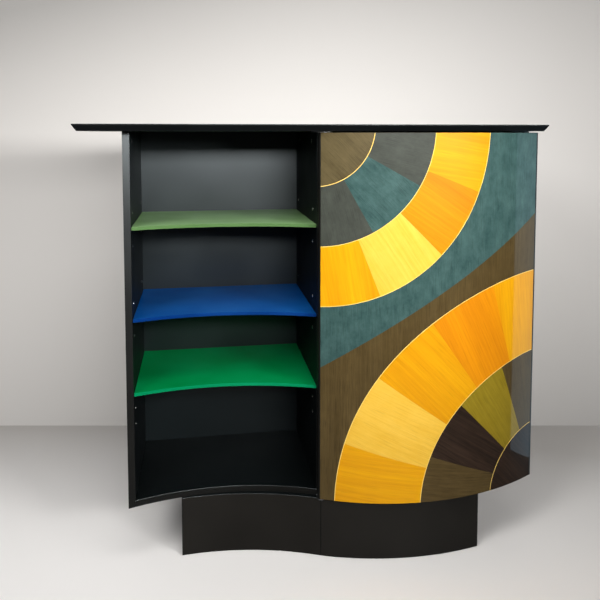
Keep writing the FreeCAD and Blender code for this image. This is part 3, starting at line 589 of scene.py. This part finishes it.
rows = {}
for side, level, sign in (("foot", 0.0, -1), ("head", face_height, 1)):
    row = [(across, outer, carried_back(across, level, ARRIS_SIZE), carried_back(across, level, SHEET))
           for across, outer in rims[side]]
    rows[side] = row
    level_face = Vector((0, 0, sign))
    for (across, outer, ease, back), (next_across, next_outer, next_ease, next_back) in zip(row, row[1:]):
        slope = (outwards((across + next_across) / 2) + level_face).normalized()
        if sign > 0:
            strip([outer, next_outer, next_ease, ease], slope)
            strip([ease, next_ease, next_back, back], level_face)
        else:
            strip([next_outer, outer, ease, next_ease], slope)
            strip([next_ease, ease, back, next_back], level_face)
print("strips at head and foot:", len(faces) - len(cells))

# %% Sides and inside of the veneer sheet
for side, across, end in (("hinge", 0.0, 0), ("tip", face_width, -1)):
    foot_ease, foot_back = rows["foot"][end][2:]
    head_ease, head_back = rows["head"][end][2:]
    loop = [foot_ease] + [index for up, index in rims[side]] + [head_ease, head_back, foot_back]
    along = Vector((-outwards(across).y, outwards(across).x, 0))
    if side == "hinge":
        strip(loop, -along)
    else:
        strip(loop[::-1], along)

foot = [(round(across, DIGITS), back) for across, outer, ease, back in rows["foot"]]
head = [(round(across, DIGITS), back) for across, outer, ease, back in rows["head"]]
shared = sorted(dict(foot).keys() & dict(head).keys())
for left, right in zip(shared, shared[1:]):
    between_foot = [back for across, back in foot if left < across < right]
    between_head = [back for across, back in head if left < across < right]
    strip([dict(foot)[left], dict(head)[left], *between_head, dict(head)[right], dict(foot)[right],
           *reversed(between_foot)], -outwards((left + right) / 2))

face_mesh = bpy.data.meshes.new("door_marquetry")
face_mesh.from_pydata(corners, [], faces)
for wood in VENEERS.values():
    face_mesh.materials.append(wood)
face_mesh.polygons.foreach_set("material_index", slots)
grain_map = face_mesh.uv_layers.new(name="grain")
grain_map.data.foreach_set("uv", [value for pair in grains for value in pair])
face_mesh.shade_smooth()
face_mesh.normals_split_custom_set(normals)
face_mesh.validate()
dressed("door_marquetry", face_mesh, ["door_marquetry_face"], "door")
print("door face laid:", len(faces), "faces")

# %% [markdown]
# **Metals and plain finishes.** The small fittings are nickel, zinc-plated steel and brass; hidden joints
# use bare beech. Each metal has a brushed or tumbled gloss, so noise moves its roughness. Pieces whose
# form is right already only change their material.

# %% Metals and plain finishes
DIM = 0.82
MARK_STRENGTH, MARK_DEPTH = 0.1, 0.0002


def marked(name, dark, light, gloss, scale, stretch=(1.0, 1.0, 1.0), metallic=0.0):
    """Marks that run between two tones and two roughnesses. A matt finish has them in relief too."""
    material, tree, shader = graph(name)
    place = add(tree, "ShaderNodeTexCoord").outputs["Object"]
    marks = noise(tree, stretched(tree, place, stretch), scale, detail=3.0 if metallic else 4.0)
    feed(shader, {"Base Color": tones(tree, marks, dark, light), "Roughness": span(tree, marks, *gloss),
                  "Metallic": metallic})
    if not metallic:
        relief(tree, shader, marks, MARK_STRENGTH, MARK_DEPTH)
    return material


def metal(name, colour, gloss, scale, stretch=(1.0, 1.0, 1.0)):
    dim = tuple(DIM * value for value in colour)
    return marked(name, dim, colour, gloss, scale, stretch, metallic=1.0)


nickel = metal("nickel", (0.80, 0.78, 0.75), (0.20, 0.32), 260.0)
zinc = metal("zinc_steel", (0.58, 0.58, 0.60), (0.26, 0.42), 320.0, (1.0, 1.0, 0.1))
brass = metal("turned_brass", (0.70, 0.50, 0.22), (0.18, 0.30), 420.0, (0.1, 0.1, 1.0))
beech = marked("bare_beech", (0.50, 0.33, 0.19), (0.62, 0.44, 0.27), (0.55, 0.70), 120.0, (1.0, 1.0, 0.1))
bare_board = marked("board_core", (0.42, 0.33, 0.22), (0.55, 0.45, 0.32), (0.60, 0.75), 160.0)
glide_black = marked("glide_plastic", (0.012, 0.012, 0.013), (0.022, 0.022, 0.023), (0.50, 0.65), 300.0)
dark_veneer = marked("inner_veneer", (0.020, 0.016, 0.014), (0.045, 0.036, 0.031), (0.30, 0.45), 1.0,
                     (150.0, 150.0, 3.0))
print("three metals and four matt finishes made")

# %% Refinish the plain pieces
CORE_EASE = 0.0005
PLAIN = (
    (dark_veneer, "door_inner_veneer"),
    (LACQUERS["satin_black"], "door_hinge_lipping", "door_tip_lipping"),
    (brass, "upper_door_bush", "lower_door_bush", "thrust_washer"),
    (zinc, "upper_pivot_pin", "lower_pivot_pin", "upper_pivot_plate", "lower_pivot_plate"),
    (zinc, "door_strike_discs", "slab_bolts"),
    (nickel, "catch_magnets"),
    (beech, "carcass_dowels", "plinth_dowels"),
)
for material, *node_names in PLAIN:
    for node_name in node_names:
        nodes[node_name].data.materials.clear()
        nodes[node_name].data.materials.append(material)
eased("door_core", CORE_EASE, [bare_board, LACQUERS["satin_black"]],
      lambda face: int(abs(face.normal.z) > SQUARE_ON), "door")
print("nodes refinished:", sum(len(row) - 1 for row in PLAIN))

# %% [markdown]
# **A lathe made of nodes.** Sleeves, shelf pins, cams, screws and glides are all turned parts, and each of
# them repeats. So we build one Geometry Nodes tree per kind. It starts from a ring of points and pulls the
# ring's open edge from station to station of the profile, as a turner's tool would move. A station is a
# radius and a height, and both are named inputs of the tree.

# %% Turn a profile
TINY = 0.00002
FIRST_RING = 0.001


def ring(tree, mesh, selection, radius, height):
    """Moves the selected ring to a radius and a height."""

    def vector(operation, inputs):
        return add(tree, "ShaderNodeVectorMath", inputs, operation=operation).outputs[0]

    place = add(tree, "GeometryNodeInputPosition").outputs[0]
    unit = vector("NORMALIZE", {0: vector("MULTIPLY", {0: place, 1: (1, 1, 0)})})
    up = add(tree, "ShaderNodeCombineXYZ", {"Z": height}).outputs[0]
    spot = vector("ADD", {0: vector("SCALE", {0: unit, "Scale": radius}), 1: up})
    return add(tree, "GeometryNodeSetPosition",
               {"Geometry": mesh, "Selection": selection, "Position": spot}).outputs[0]


def turned(tree, given, stations, sides):
    """The solid of a profile. Stations name their radius and height among the given inputs."""
    mesh = add(tree, "GeometryNodeMeshCircle", {"Vertices": sides, "Radius": FIRST_RING}).outputs[0]
    radius, height = stations[0]
    mesh = ring(tree, mesh, True, given[radius], given[height])
    edge = True
    for radius, height in stations[1:]:
        pulled = add(tree, "GeometryNodeExtrudeMesh",
                     {"Mesh": mesh, "Selection": edge, "Offset Scale": 0.0}, mode="EDGES")
        edge = pulled.outputs["Top"]
        mesh = ring(tree, pulled.outputs["Mesh"], edge, given[radius], given[height])
    return add(tree, "GeometryNodeMergeByDistance", {"Geometry": mesh, "Distance": TINY}).outputs[0]


def crossed(tree, mesh, length, width, depth):
    """Takes two crossed bars away from the head of a turned part."""
    mesh = add(tree, "GeometryNodeFlipFaces", {"Mesh": mesh}).outputs[0]
    deep = add(tree, "ShaderNodeMath", {0: depth, 1: 2.0}, operation="MULTIPLY").outputs[0]
    for along, across in ((length, width), (width, length)):
        bar = add(tree, "ShaderNodeCombineXYZ", {"X": along, "Y": across, "Z": deep}).outputs[0]
        cutter = add(tree, "GeometryNodeMeshCube", {"Size": bar}).outputs[0]
        mesh = add(tree, "GeometryNodeMeshBoolean", {0: mesh, 1: cutter}, operation="DIFFERENCE",
                   solver="EXACT").outputs[0]
    return add(tree, "GeometryNodeMergeByDistance", {"Geometry": mesh, "Distance": TINY}).outputs[0]


# %% [markdown]
# **Setting the part on points.** The finished part is set on every point of a small helper mesh, along
# that point's facing, and turned by a random angle of fixed seed, because nobody lines up screw slots.

# %% The lathe tree
SEED = 11


def lathe(name, sizes, stations, sides, recess=()):
    """A tree that turns a part, cuts a cross where recess names its sizes, and sets it on points."""
    tree = bpy.data.node_groups.new(name, "GeometryNodeTree")
    kinds = {"Geometry": "Geometry", **dict.fromkeys(sizes, "Float"), "Material": "Material"}
    for socket, kind in kinds.items():
        tree.interface.new_socket(socket, in_out="INPUT", socket_type=f"NodeSocket{kind}")
    tree.interface.new_socket("Geometry", in_out="OUTPUT", socket_type="NodeSocketGeometry")
    given = tree.nodes.new("NodeGroupInput").outputs
    mesh = turned(tree, given, stations, sides)
    if recess:
        mesh = crossed(tree, mesh, *(given[size] for size in recess))
    facing = add(tree, "GeometryNodeInputNamedAttribute", {"Name": "facing"},
                 data_type="FLOAT_VECTOR").outputs[0]
    aim = add(tree, "FunctionNodeAlignRotationToVector", {"Vector": facing}, axis="Z").outputs[0]
    chance = add(tree, "FunctionNodeRandomValue", {"Max": math.pi, "Seed": SEED},
                 data_type="FLOAT").outputs["Value"]
    spin = add(tree, "FunctionNodeAxisAngleToRotation", {"Axis": (0, 0, 1), "Angle": chance}).outputs[0]
    turn = add(tree, "FunctionNodeRotateRotation", {"Rotation": aim, "Rotate By": spin},
               rotation_space="LOCAL").outputs[0]
    placed = add(tree, "GeometryNodeInstanceOnPoints",
                 {"Points": given["Geometry"], "Instance": mesh, "Rotation": turn}).outputs[0]
    real = add(tree, "GeometryNodeRealizeInstances", {"Geometry": placed}).outputs[0]
    coated = add(tree, "GeometryNodeSetMaterial", {"Geometry": real, "Material": given["Material"]})
    add(tree, "NodeGroupOutput", {"Geometry": coated.outputs[0]})
    return tree


# %% [markdown]
# **Where the fittings sit.** The construction model holds every fitting in its place. Each one is a loose
# island of its node's mesh, so we walk over the islands and note their boxes. A fitting's spot is the
# middle of its box's outer side.

# %% Find the fittings
SAME_SPOT = 1e-6


def islands(node_name):
    """The lowest and highest corner of each loose part of a node's mesh."""
    form = bmesh.new()
    form.from_mesh(nodes[node_name].data)
    bmesh.ops.remove_doubles(form, verts=form.verts, dist=SAME_SPOT)
    waiting = set(form.verts)
    boxes = []
    while waiting:
        edge = [waiting.pop()]
        found = []
        while edge:
            vertex = edge.pop()
            found.append(vertex.co.copy())
            near = {link.other_vert(vertex) for link in vertex.link_edges} & waiting
            waiting -= near
            edge.extend(near)
        boxes.append([Vector([pick(corner[axis] for corner in found) for axis in range(3)])
                      for pick in (min, max)])
    form.free()
    return sorted(boxes, key=lambda box: tuple(round(value, 4) for value in box[0]))


def on_side(box, facing, proud=0.0):
    """The middle of a box's side, as far below it as the fitting stands proud, with that side's facing."""
    low, high = box
    spot = (low + high) / 2
    for axis in range(3):
        if facing[axis]:
            spot[axis] = (high if facing[axis] > 0 else low)[axis] - proud * facing[axis]
    return spot, facing


# %% [markdown]
# **Baking.** A tree runs as a modifier on a helper mesh that has only points. We read the result back as a
# plain mesh, drop the helper, and turn all normals outwards. It then stands for its nodes.

# %% Bake fittings
SHARP = math.radians(35)


def grown(name, spots, tree, values):
    """The mesh that a tree makes on spots, each a place and a facing."""
    points = bpy.data.meshes.new(f"{name}_points")
    points.from_pydata([place for place, facing in spots], [], [])
    attribute = points.attributes.new("facing", "FLOAT_VECTOR", "POINT")
    attribute.data.foreach_set("vector", [value for place, facing in spots for value in facing])
    helper = in_scene(f"{name}_points", points)
    modifier = helper.modifiers.new("lathe", "NODES")
    modifier.node_group = tree
    for item in tree.interface.items_tree:
        if item.in_out == "INPUT" and item.name in values:
            modifier[item.identifier] = values[item.name]
    made = bpy.data.meshes.new_from_object(helper.evaluated_get(bpy.context.evaluated_depsgraph_get()))
    bpy.data.objects.remove(helper)
    bpy.data.meshes.remove(points)
    return made


def bake(name, spots, tree, sizes, material, node_names):
    """Runs a lathe tree on spots and dresses the nodes with the result."""
    made = grown(name, spots, tree, {**sizes, "Material": material})
    form = bmesh.new()
    form.from_mesh(made)
    bmesh.ops.recalc_face_normals(form, faces=form.faces)
    open_edges = sum(not edge.is_manifold for edge in form.edges)
    form.to_mesh(made)
    form.free()
    made.shade_smooth()
    made.set_sharp_from_angle(angle=SHARP)
    made.name = name
    dressed(name, made, node_names)
    print(name, len(spots), "set,", len(made.polygons), "faces,", open_edges, "open edges")


# %% [markdown]
# **Pin sleeves and shelf pins.** Two columns of nickel sleeves run up each wall of the bays, so that the
# shelves can be moved. A sleeve is a tube with a thin flange on the wall, whose rim is rounded over. A
# shelf rests on four pins, which are plain rods with a rounded nose.

# %% Pin sleeves and shelf pins
AXIS = 0.000005
SLEEVE = {"bore": 0.00255, "body": 0.0035, "flange": 0.00475, "brow": 0.00469, "crown": 0.00456,
          "rim": 0.00436, "mouth": 0.0029, "depth": -0.009, "wall": 0.0, "shoulder": 0.0003,
          "brow_level": 0.00052, "crown_level": 0.0007, "face": 0.0008, "throat": 0.0004}
sleeve_tree = lathe("pin_sleeve", SLEEVE, (
    ("bore", "depth"), ("body", "depth"), ("body", "wall"), ("flange", "wall"), ("flange", "shoulder"),
    ("brow", "brow_level"), ("crown", "crown_level"), ("rim", "face"), ("mouth", "face"), ("bore", "throat"),
    ("bore", "depth")), 18)
SLEEVE_WALLS = {"left_side": RIGHTWARDS, "partition_left": LEFTWARDS, "partition_right": RIGHTWARDS,
                "right_side": LEFTWARDS}
sleeve_nodes = [f"{wall}_pin_sleeves" for wall in SLEEVE_WALLS]
sleeve_spots = [on_side(box, facing, SLEEVE["face"])
                for wall, facing in SLEEVE_WALLS.items() for box in islands(f"{wall}_pin_sleeves")]
bake("pin_sleeves", sleeve_spots, sleeve_tree, SLEEVE, nickel, sleeve_nodes)

PIN = {"axis": AXIS, "tail": 0.0021, "rod": 0.0025, "nose": 0.0017, "depth": -0.009, "tail_end": -0.0086,
       "cheek": 0.0072, "tip": 0.008}
pin_tree = lathe("shelf_pin", PIN, (
    ("axis", "depth"), ("tail", "depth"), ("rod", "tail_end"), ("rod", "cheek"), ("nose", "tip"),
    ("axis", "tip")), 14)
pin_spots = []
for bay in ("left", "right"):
    bay_boxes = islands(f"{bay}_shelf_pins")
    middle = sum(low.x + high.x for low, high in bay_boxes) / (2 * len(bay_boxes))
    pin_spots += [on_side(box, RIGHTWARDS if box[0].x < middle else LEFTWARDS, PIN["tip"])
                  for box in bay_boxes]
bake("shelf_pins", pin_spots, pin_tree, PIN, nickel, ["left_shelf_pins", "right_shelf_pins"])

# %% [markdown]
# **Cams, screws and glides.** Six cams draw the top down on the uprights, and countersunk screws hold the
# back panel and the pivot plates. All take a screwdriver, so a Mesh Boolean node cuts a cross into their
# heads. Plain plastic glides keep the plinth off a damp floor.

# %% Cams
LEFT_PANEL_ENDS = -0.3
CROSS = ("slot_length", "slot_width", "slot_depth")
CAM = {"axis": AXIS, "drum": 0.0075, "rim": 0.0071, "depth": -0.014, "shoulder": -0.0004, "face": 0.0,
       "slot_length": 0.008, "slot_width": 0.0016, "slot_depth": 0.0022}
cam_tree = lathe("slab_cam", CAM, (
    ("axis", "depth"), ("drum", "depth"), ("drum", "shoulder"), ("rim", "face"), ("axis", "face")),
    24, CROSS)
cam_spots = [on_side(box, RIGHTWARDS if box[1].x < LEFT_PANEL_ENDS else LEFTWARDS)
             for box in islands("slab_cams")]
bake("slab_cam_fittings", cam_spots, cam_tree, CAM, nickel, ["slab_cams"])

# %% Screws and glides
BACK_SCREW, PLATE_SCREW = 0.035, 0.015


def screw_sizes(length):
    return {"axis": AXIS, "point": 0.0007, "shank": 0.002, "head": 0.004, "lip": 0.0039, "tip": -length,
            "cone": 0.0015 - length, "shaft": 0.007 - length, "neck": -0.002, "shoulder": -0.0001,
            "face": 0.0, "slot_length": 0.0044, "slot_width": 0.0010, "slot_depth": 0.0016}


screw_tree = lathe("cross_screw", screw_sizes(BACK_SCREW), (
    ("axis", "tip"), ("point", "cone"), ("shank", "shaft"), ("shank", "neck"), ("head", "shoulder"),
    ("lip", "face"), ("axis", "face")), 16, CROSS)
back_spots = [on_side(box, BACKWARDS) for box in islands("back_screws")]
bake("back_screw_set", back_spots, screw_tree, screw_sizes(BACK_SCREW), zinc, ["back_screws"])
plate_spots = [on_side(box, DOWNWARDS) for box in islands("pivot_plate_screws")]
bake("pivot_plate_screw_set", plate_spots, screw_tree, screw_sizes(PLATE_SCREW), zinc,
     ["pivot_plate_screws"])

GLIDE = {"axis": AXIS, "disc": 0.008, "sole": 0.0068, "seat": -0.002, "round": -0.0009, "ground": 0.0}
glide_tree = lathe("floor_glide", GLIDE, (
    ("axis", "seat"), ("disc", "seat"), ("disc", "round"), ("sole", "ground"), ("axis", "ground")), 24)
glide_spots = [on_side(box, DOWNWARDS) for box in islands("floor_glides")]
bake("floor_glide_set", glide_spots, glide_tree, GLIDE, glide_black, ["floor_glides"])

# %% [markdown]
# ** The room.** A pale floor and a pale wall behind. The wall stands where the picture shows the line
# between them, square to the camera. Their colour is a painted pool of light, palest near the picture's
# middle.

# %% Sheets and painted light
WALL_ROW = 425.6
PAINT_CLOUDS = 1.2
PAINT_UNEVEN = 0.06
PAINT_ROUGH = 0.7
forward = Vector((-math.sin(CAMERA_TURN), math.cos(CAMERA_TURN), 0))
sideways = Vector((math.cos(CAMERA_TURN), math.sin(CAMERA_TURN), 0))
drop = CAMERA_TIP + math.atan((WALL_ROW - LENS_ROW) / FOCAL_PIXELS)
wall_distance = CAMERA_HEIGHT / math.tan(drop)
under_camera = Vector((camera.location.x, camera.location.y, 0))


def sheet(name, corners, material):
    mesh = bpy.data.meshes.new(name)
    mesh.from_pydata(corners, [], [(0, 1, 2, 3)])
    mesh.materials.append(material)
    made = in_scene(name, mesh)


def painted(name, centre, reach, tilt, near, far):
    """A painted pool of light: colour from the near one at the centre to the far one, as far as reach along
    each axis.
    """
    material, tree, shader = graph(name)
    place = add(tree, "ShaderNodeTexCoord").outputs["Object"]
    local = add(tree, "ShaderNodeMapping", {"Vector": place, "Location": centre, "Scale": reach,
                                            "Rotation": (0, tilt, CAMERA_TURN)},
                vector_type="TEXTURE").outputs["Vector"]
    away = add(tree, "ShaderNodeVectorMath", {0: local, 1: local}, operation="DOT_PRODUCT").outputs["Value"]
    cloud = noise(tree, place, PAINT_CLOUDS, detail=3.0)
    uneven = add(tree, "ShaderNodeMath", {0: cloud, 1: PAINT_UNEVEN, 2: away}, operation="MULTIPLY_ADD")
    colour = steps(tree, uneven.outputs[0], (0.03, near), (1.0, far))
    feed(shader, {"Base Color": colour, "Roughness": PAINT_ROUGH})
    return material, tree, shader, colour


def shown_to(tree, rays, surface):
    """Shows a surface where rays is 1, and lets everything through where it is 0."""
    clear = add(tree, "ShaderNodeBsdfTransparent").outputs[0]
    mixed = add(tree, "ShaderNodeMixShader", {0: rays, 1: clear, 2: surface}).outputs[0]
    output = next(item for item in tree.nodes if item.type == "OUTPUT_MATERIAL")
    feed(output, {"Surface": mixed})


print("wall stands", round(wall_distance, 2), "m from the camera")

# %% [markdown]
# ** Floor and wall for the eye.** A pale floor would throw light up into the dark bays, which the picture
# doesn't show, so only the camera sees it pale. The wall shines a little to the camera alone, a painted
# glow. Seen from behind, or met by light on its way, it lets everything through, so that the cabinet's back
# stays lit.

# %% Floor and wall
FLOOR_AHEAD, FLOOR_LEFT, FLOOR_HALF = 1.85, 0.8, 14.0
FLOOR_REACH = (2.8, 0.95, 1.0)
FLOOR_NEAR, FLOOR_FAR = (0.90, 0.873, 0.846), (0.60, 0.565, 0.525)
FLOOR_DIM = (0.06, 0.058, 0.056, 1.0)
floor_centre = under_camera + FLOOR_AHEAD * forward - FLOOR_LEFT * sideways
# The floor's colour is a painted pool of light, its centre set to the left.
floor_painted_light, tree, shader, colour = painted("floor_painted_light", floor_centre, FLOOR_REACH, 0.0, FLOOR_NEAR,
                                            FLOOR_FAR)
to_camera = add(tree, "ShaderNodeLightPath").outputs["Is Camera Ray"]
dimmed = add(tree, "ShaderNodeMix", {"Factor": to_camera, "A": FLOOR_DIM, "B": colour}, data_type="RGBA")
feed(shader, {"Base Color": dimmed.outputs["Result"]})
sheet("floor", [(FLOOR_HALF * x, FLOOR_HALF * y, 0) for x, y in ((-1, -1), (1, -1), (1, 1), (-1, 1))],
      floor_painted_light)

WALL_HALF, WALL_HEIGHT, WALL_MIDDLE = 6.0, 5.0, 0.66
WALL_REACH = (6.0, 1.0, 1.40)
WALL_TILT = math.radians(-10)
WALL_NEAR, WALL_FAR = (0.75, 0.718, 0.682), (0.33, 0.316, 0.30)
WALL_CAMERA_GLOW = 0.17
wall_foot = under_camera + forward * wall_distance
# The wall's colour is a painted pool of light, tilted.
wall_painted_light, tree, shader, colour = painted("wall_painted_light", wall_foot + Vector((0, 0, WALL_MIDDLE)), WALL_REACH,
                                           WALL_TILT, WALL_NEAR, WALL_FAR)
path = add(tree, "ShaderNodeLightPath").outputs
# The wall's emission to the camera is a painted glow.
wall_camera_glow = add(tree, "ShaderNodeMath", {0: path["Is Camera Ray"], 1: WALL_CAMERA_GLOW}, operation="MULTIPLY")
feed(shader, {"Emission Color": colour, "Emission Strength": wall_camera_glow.outputs[0]})
seen = path["Is Camera Ray"]
for rays in ("Is Glossy Ray", "Is Transmission Ray"):
    seen = add(tree, "ShaderNodeMath", {0: seen, 1: path[rays]}, operation="MAXIMUM").outputs[0]
behind = add(tree, "ShaderNodeNewGeometry").outputs["Backfacing"]
shown = add(tree, "ShaderNodeMath", {0: seen, 1: behind}, operation="SUBTRACT", use_clamp=True).outputs[0]
shown_to(tree, shown, shader.outputs[0])
wall_left, wall_right = wall_foot - sideways * WALL_HALF, wall_foot + sideways * WALL_HALF
rise = Vector((0, 0, WALL_HEIGHT))
sheet("wall", [wall_left, wall_right, wall_right + rise, wall_left + rise], wall_painted_light)
print("floor and wall painted")

# %% [markdown]
# ** A card for the gloss.** In the picture the polished door mirrors something pale and cool along its free
# edge, down to a line near the foot. A glowing card beside the cabinet, which is no lamp, paints that
# reflection. It shows itself to mirroring rays only, so it neither stands in the view nor lights the boards.

# %% Side card
CARD_X, CARD_FRONT, CARD_BACK, CARD_HEIGHT = 1.2, -0.41, 0.3, 2.2
CARD_COLOUR, CARD_GLOW = (0.62, 0.84, 1.0, 1.0), 0.65
card_reflection_glow, tree, shader = graph("card_reflection_glow")
# The card's emission is a painted reflection for the door's gloss.
shine = add(tree, "ShaderNodeEmission", {"Color": CARD_COLOUR, "Strength": CARD_GLOW}).outputs[0]
shown_to(tree, add(tree, "ShaderNodeLightPath").outputs["Is Glossy Ray"], shine)
tree.nodes.remove(shader)
sheet("side_card", [(CARD_X, CARD_FRONT, 0), (CARD_X, CARD_BACK, 0), (CARD_X, CARD_BACK, CARD_HEIGHT),
                    (CARD_X, CARD_FRONT, CARD_HEIGHT)], card_reflection_glow)

# %% [markdown]
# **Lamps and air.** A long strip in front lights the door, with a narrow beam that spares the floor. A
# second strip from the right draws the glow on the left panel's edge. Soft lamps at the upper left and
# overhead fill the rest. The air is pale behind, so that the back isn't lost in the dark.

# %% Lamps
LAMPS = {
    "strip_light": ((0.26, -2.75, 1.84), (0.22, 0.0, 1.3), (1.7, 0.32), 27.0, 110),
    "right_strip": ((1.75, -2.5, 1.70), (-0.57, 0.0, 1.2), (0.9, 0.5), 12.5, 60),
    "left_light": ((-2.1, -1.9, 2.9), (0.2, 0.2, 0.3), (1.4, 1.2), 48.0, 180),
    "overhead_light": ((0.0, -0.9, 3.0), (0.0, -0.9, 0.0), (1.8, 0.8), 23.0, 180),
}
axis_line = Vector((0, pivot.y, 0))
for name, (place, aim, size, watts, spread) in LAMPS.items():
    lamp = bpy.data.lights.new(name, "AREA")
    lamp.shape = "RECTANGLE"
    lamp.size, lamp.size_y = size
    lamp.energy = watts
    lamp.spread = math.radians(spread)
    light = in_scene(name, lamp)
    light.location = axis_line + Vector(place)
    light.rotation_euler = (Vector(aim) - Vector(place)).to_track_quat("-Z", "Y").to_euler()
print("lamps hung:", ", ".join(LAMPS))

# %% Air
FRONT_AIR, BACK_AIR, PALE_AIR = 0.03, 0.50, 0.7
AIR_COLOUR = (0.98, 0.98, 1.0, 1.0)
FULLY_BEHIND = 0.7
world = bpy.data.worlds.new("room_air")
world.use_nodes = True
tree = world.node_tree
heading = add(tree, "ShaderNodeTexCoord").outputs["Generated"]
backward = add(tree, "ShaderNodeSeparateXYZ", {"Vector": heading}).outputs["Y"]
glow = add(tree, "ShaderNodeMapRange", {"Value": backward, "From Min": 0.0, "From Max": FULLY_BEHIND,
                                        "To Min": FRONT_AIR, "To Max": BACK_AIR}).outputs["Result"]
looked_at = add(tree, "ShaderNodeLightPath").outputs["Is Camera Ray"]
strength = add(tree, "ShaderNodeMix", {"Factor": looked_at, "A": glow, "B": PALE_AIR}).outputs["Result"]
feed(tree.nodes["Background"], {"Color": AIR_COLOUR, "Strength": strength})
bpy.context.scene.world = world
print("air made:", world.name)
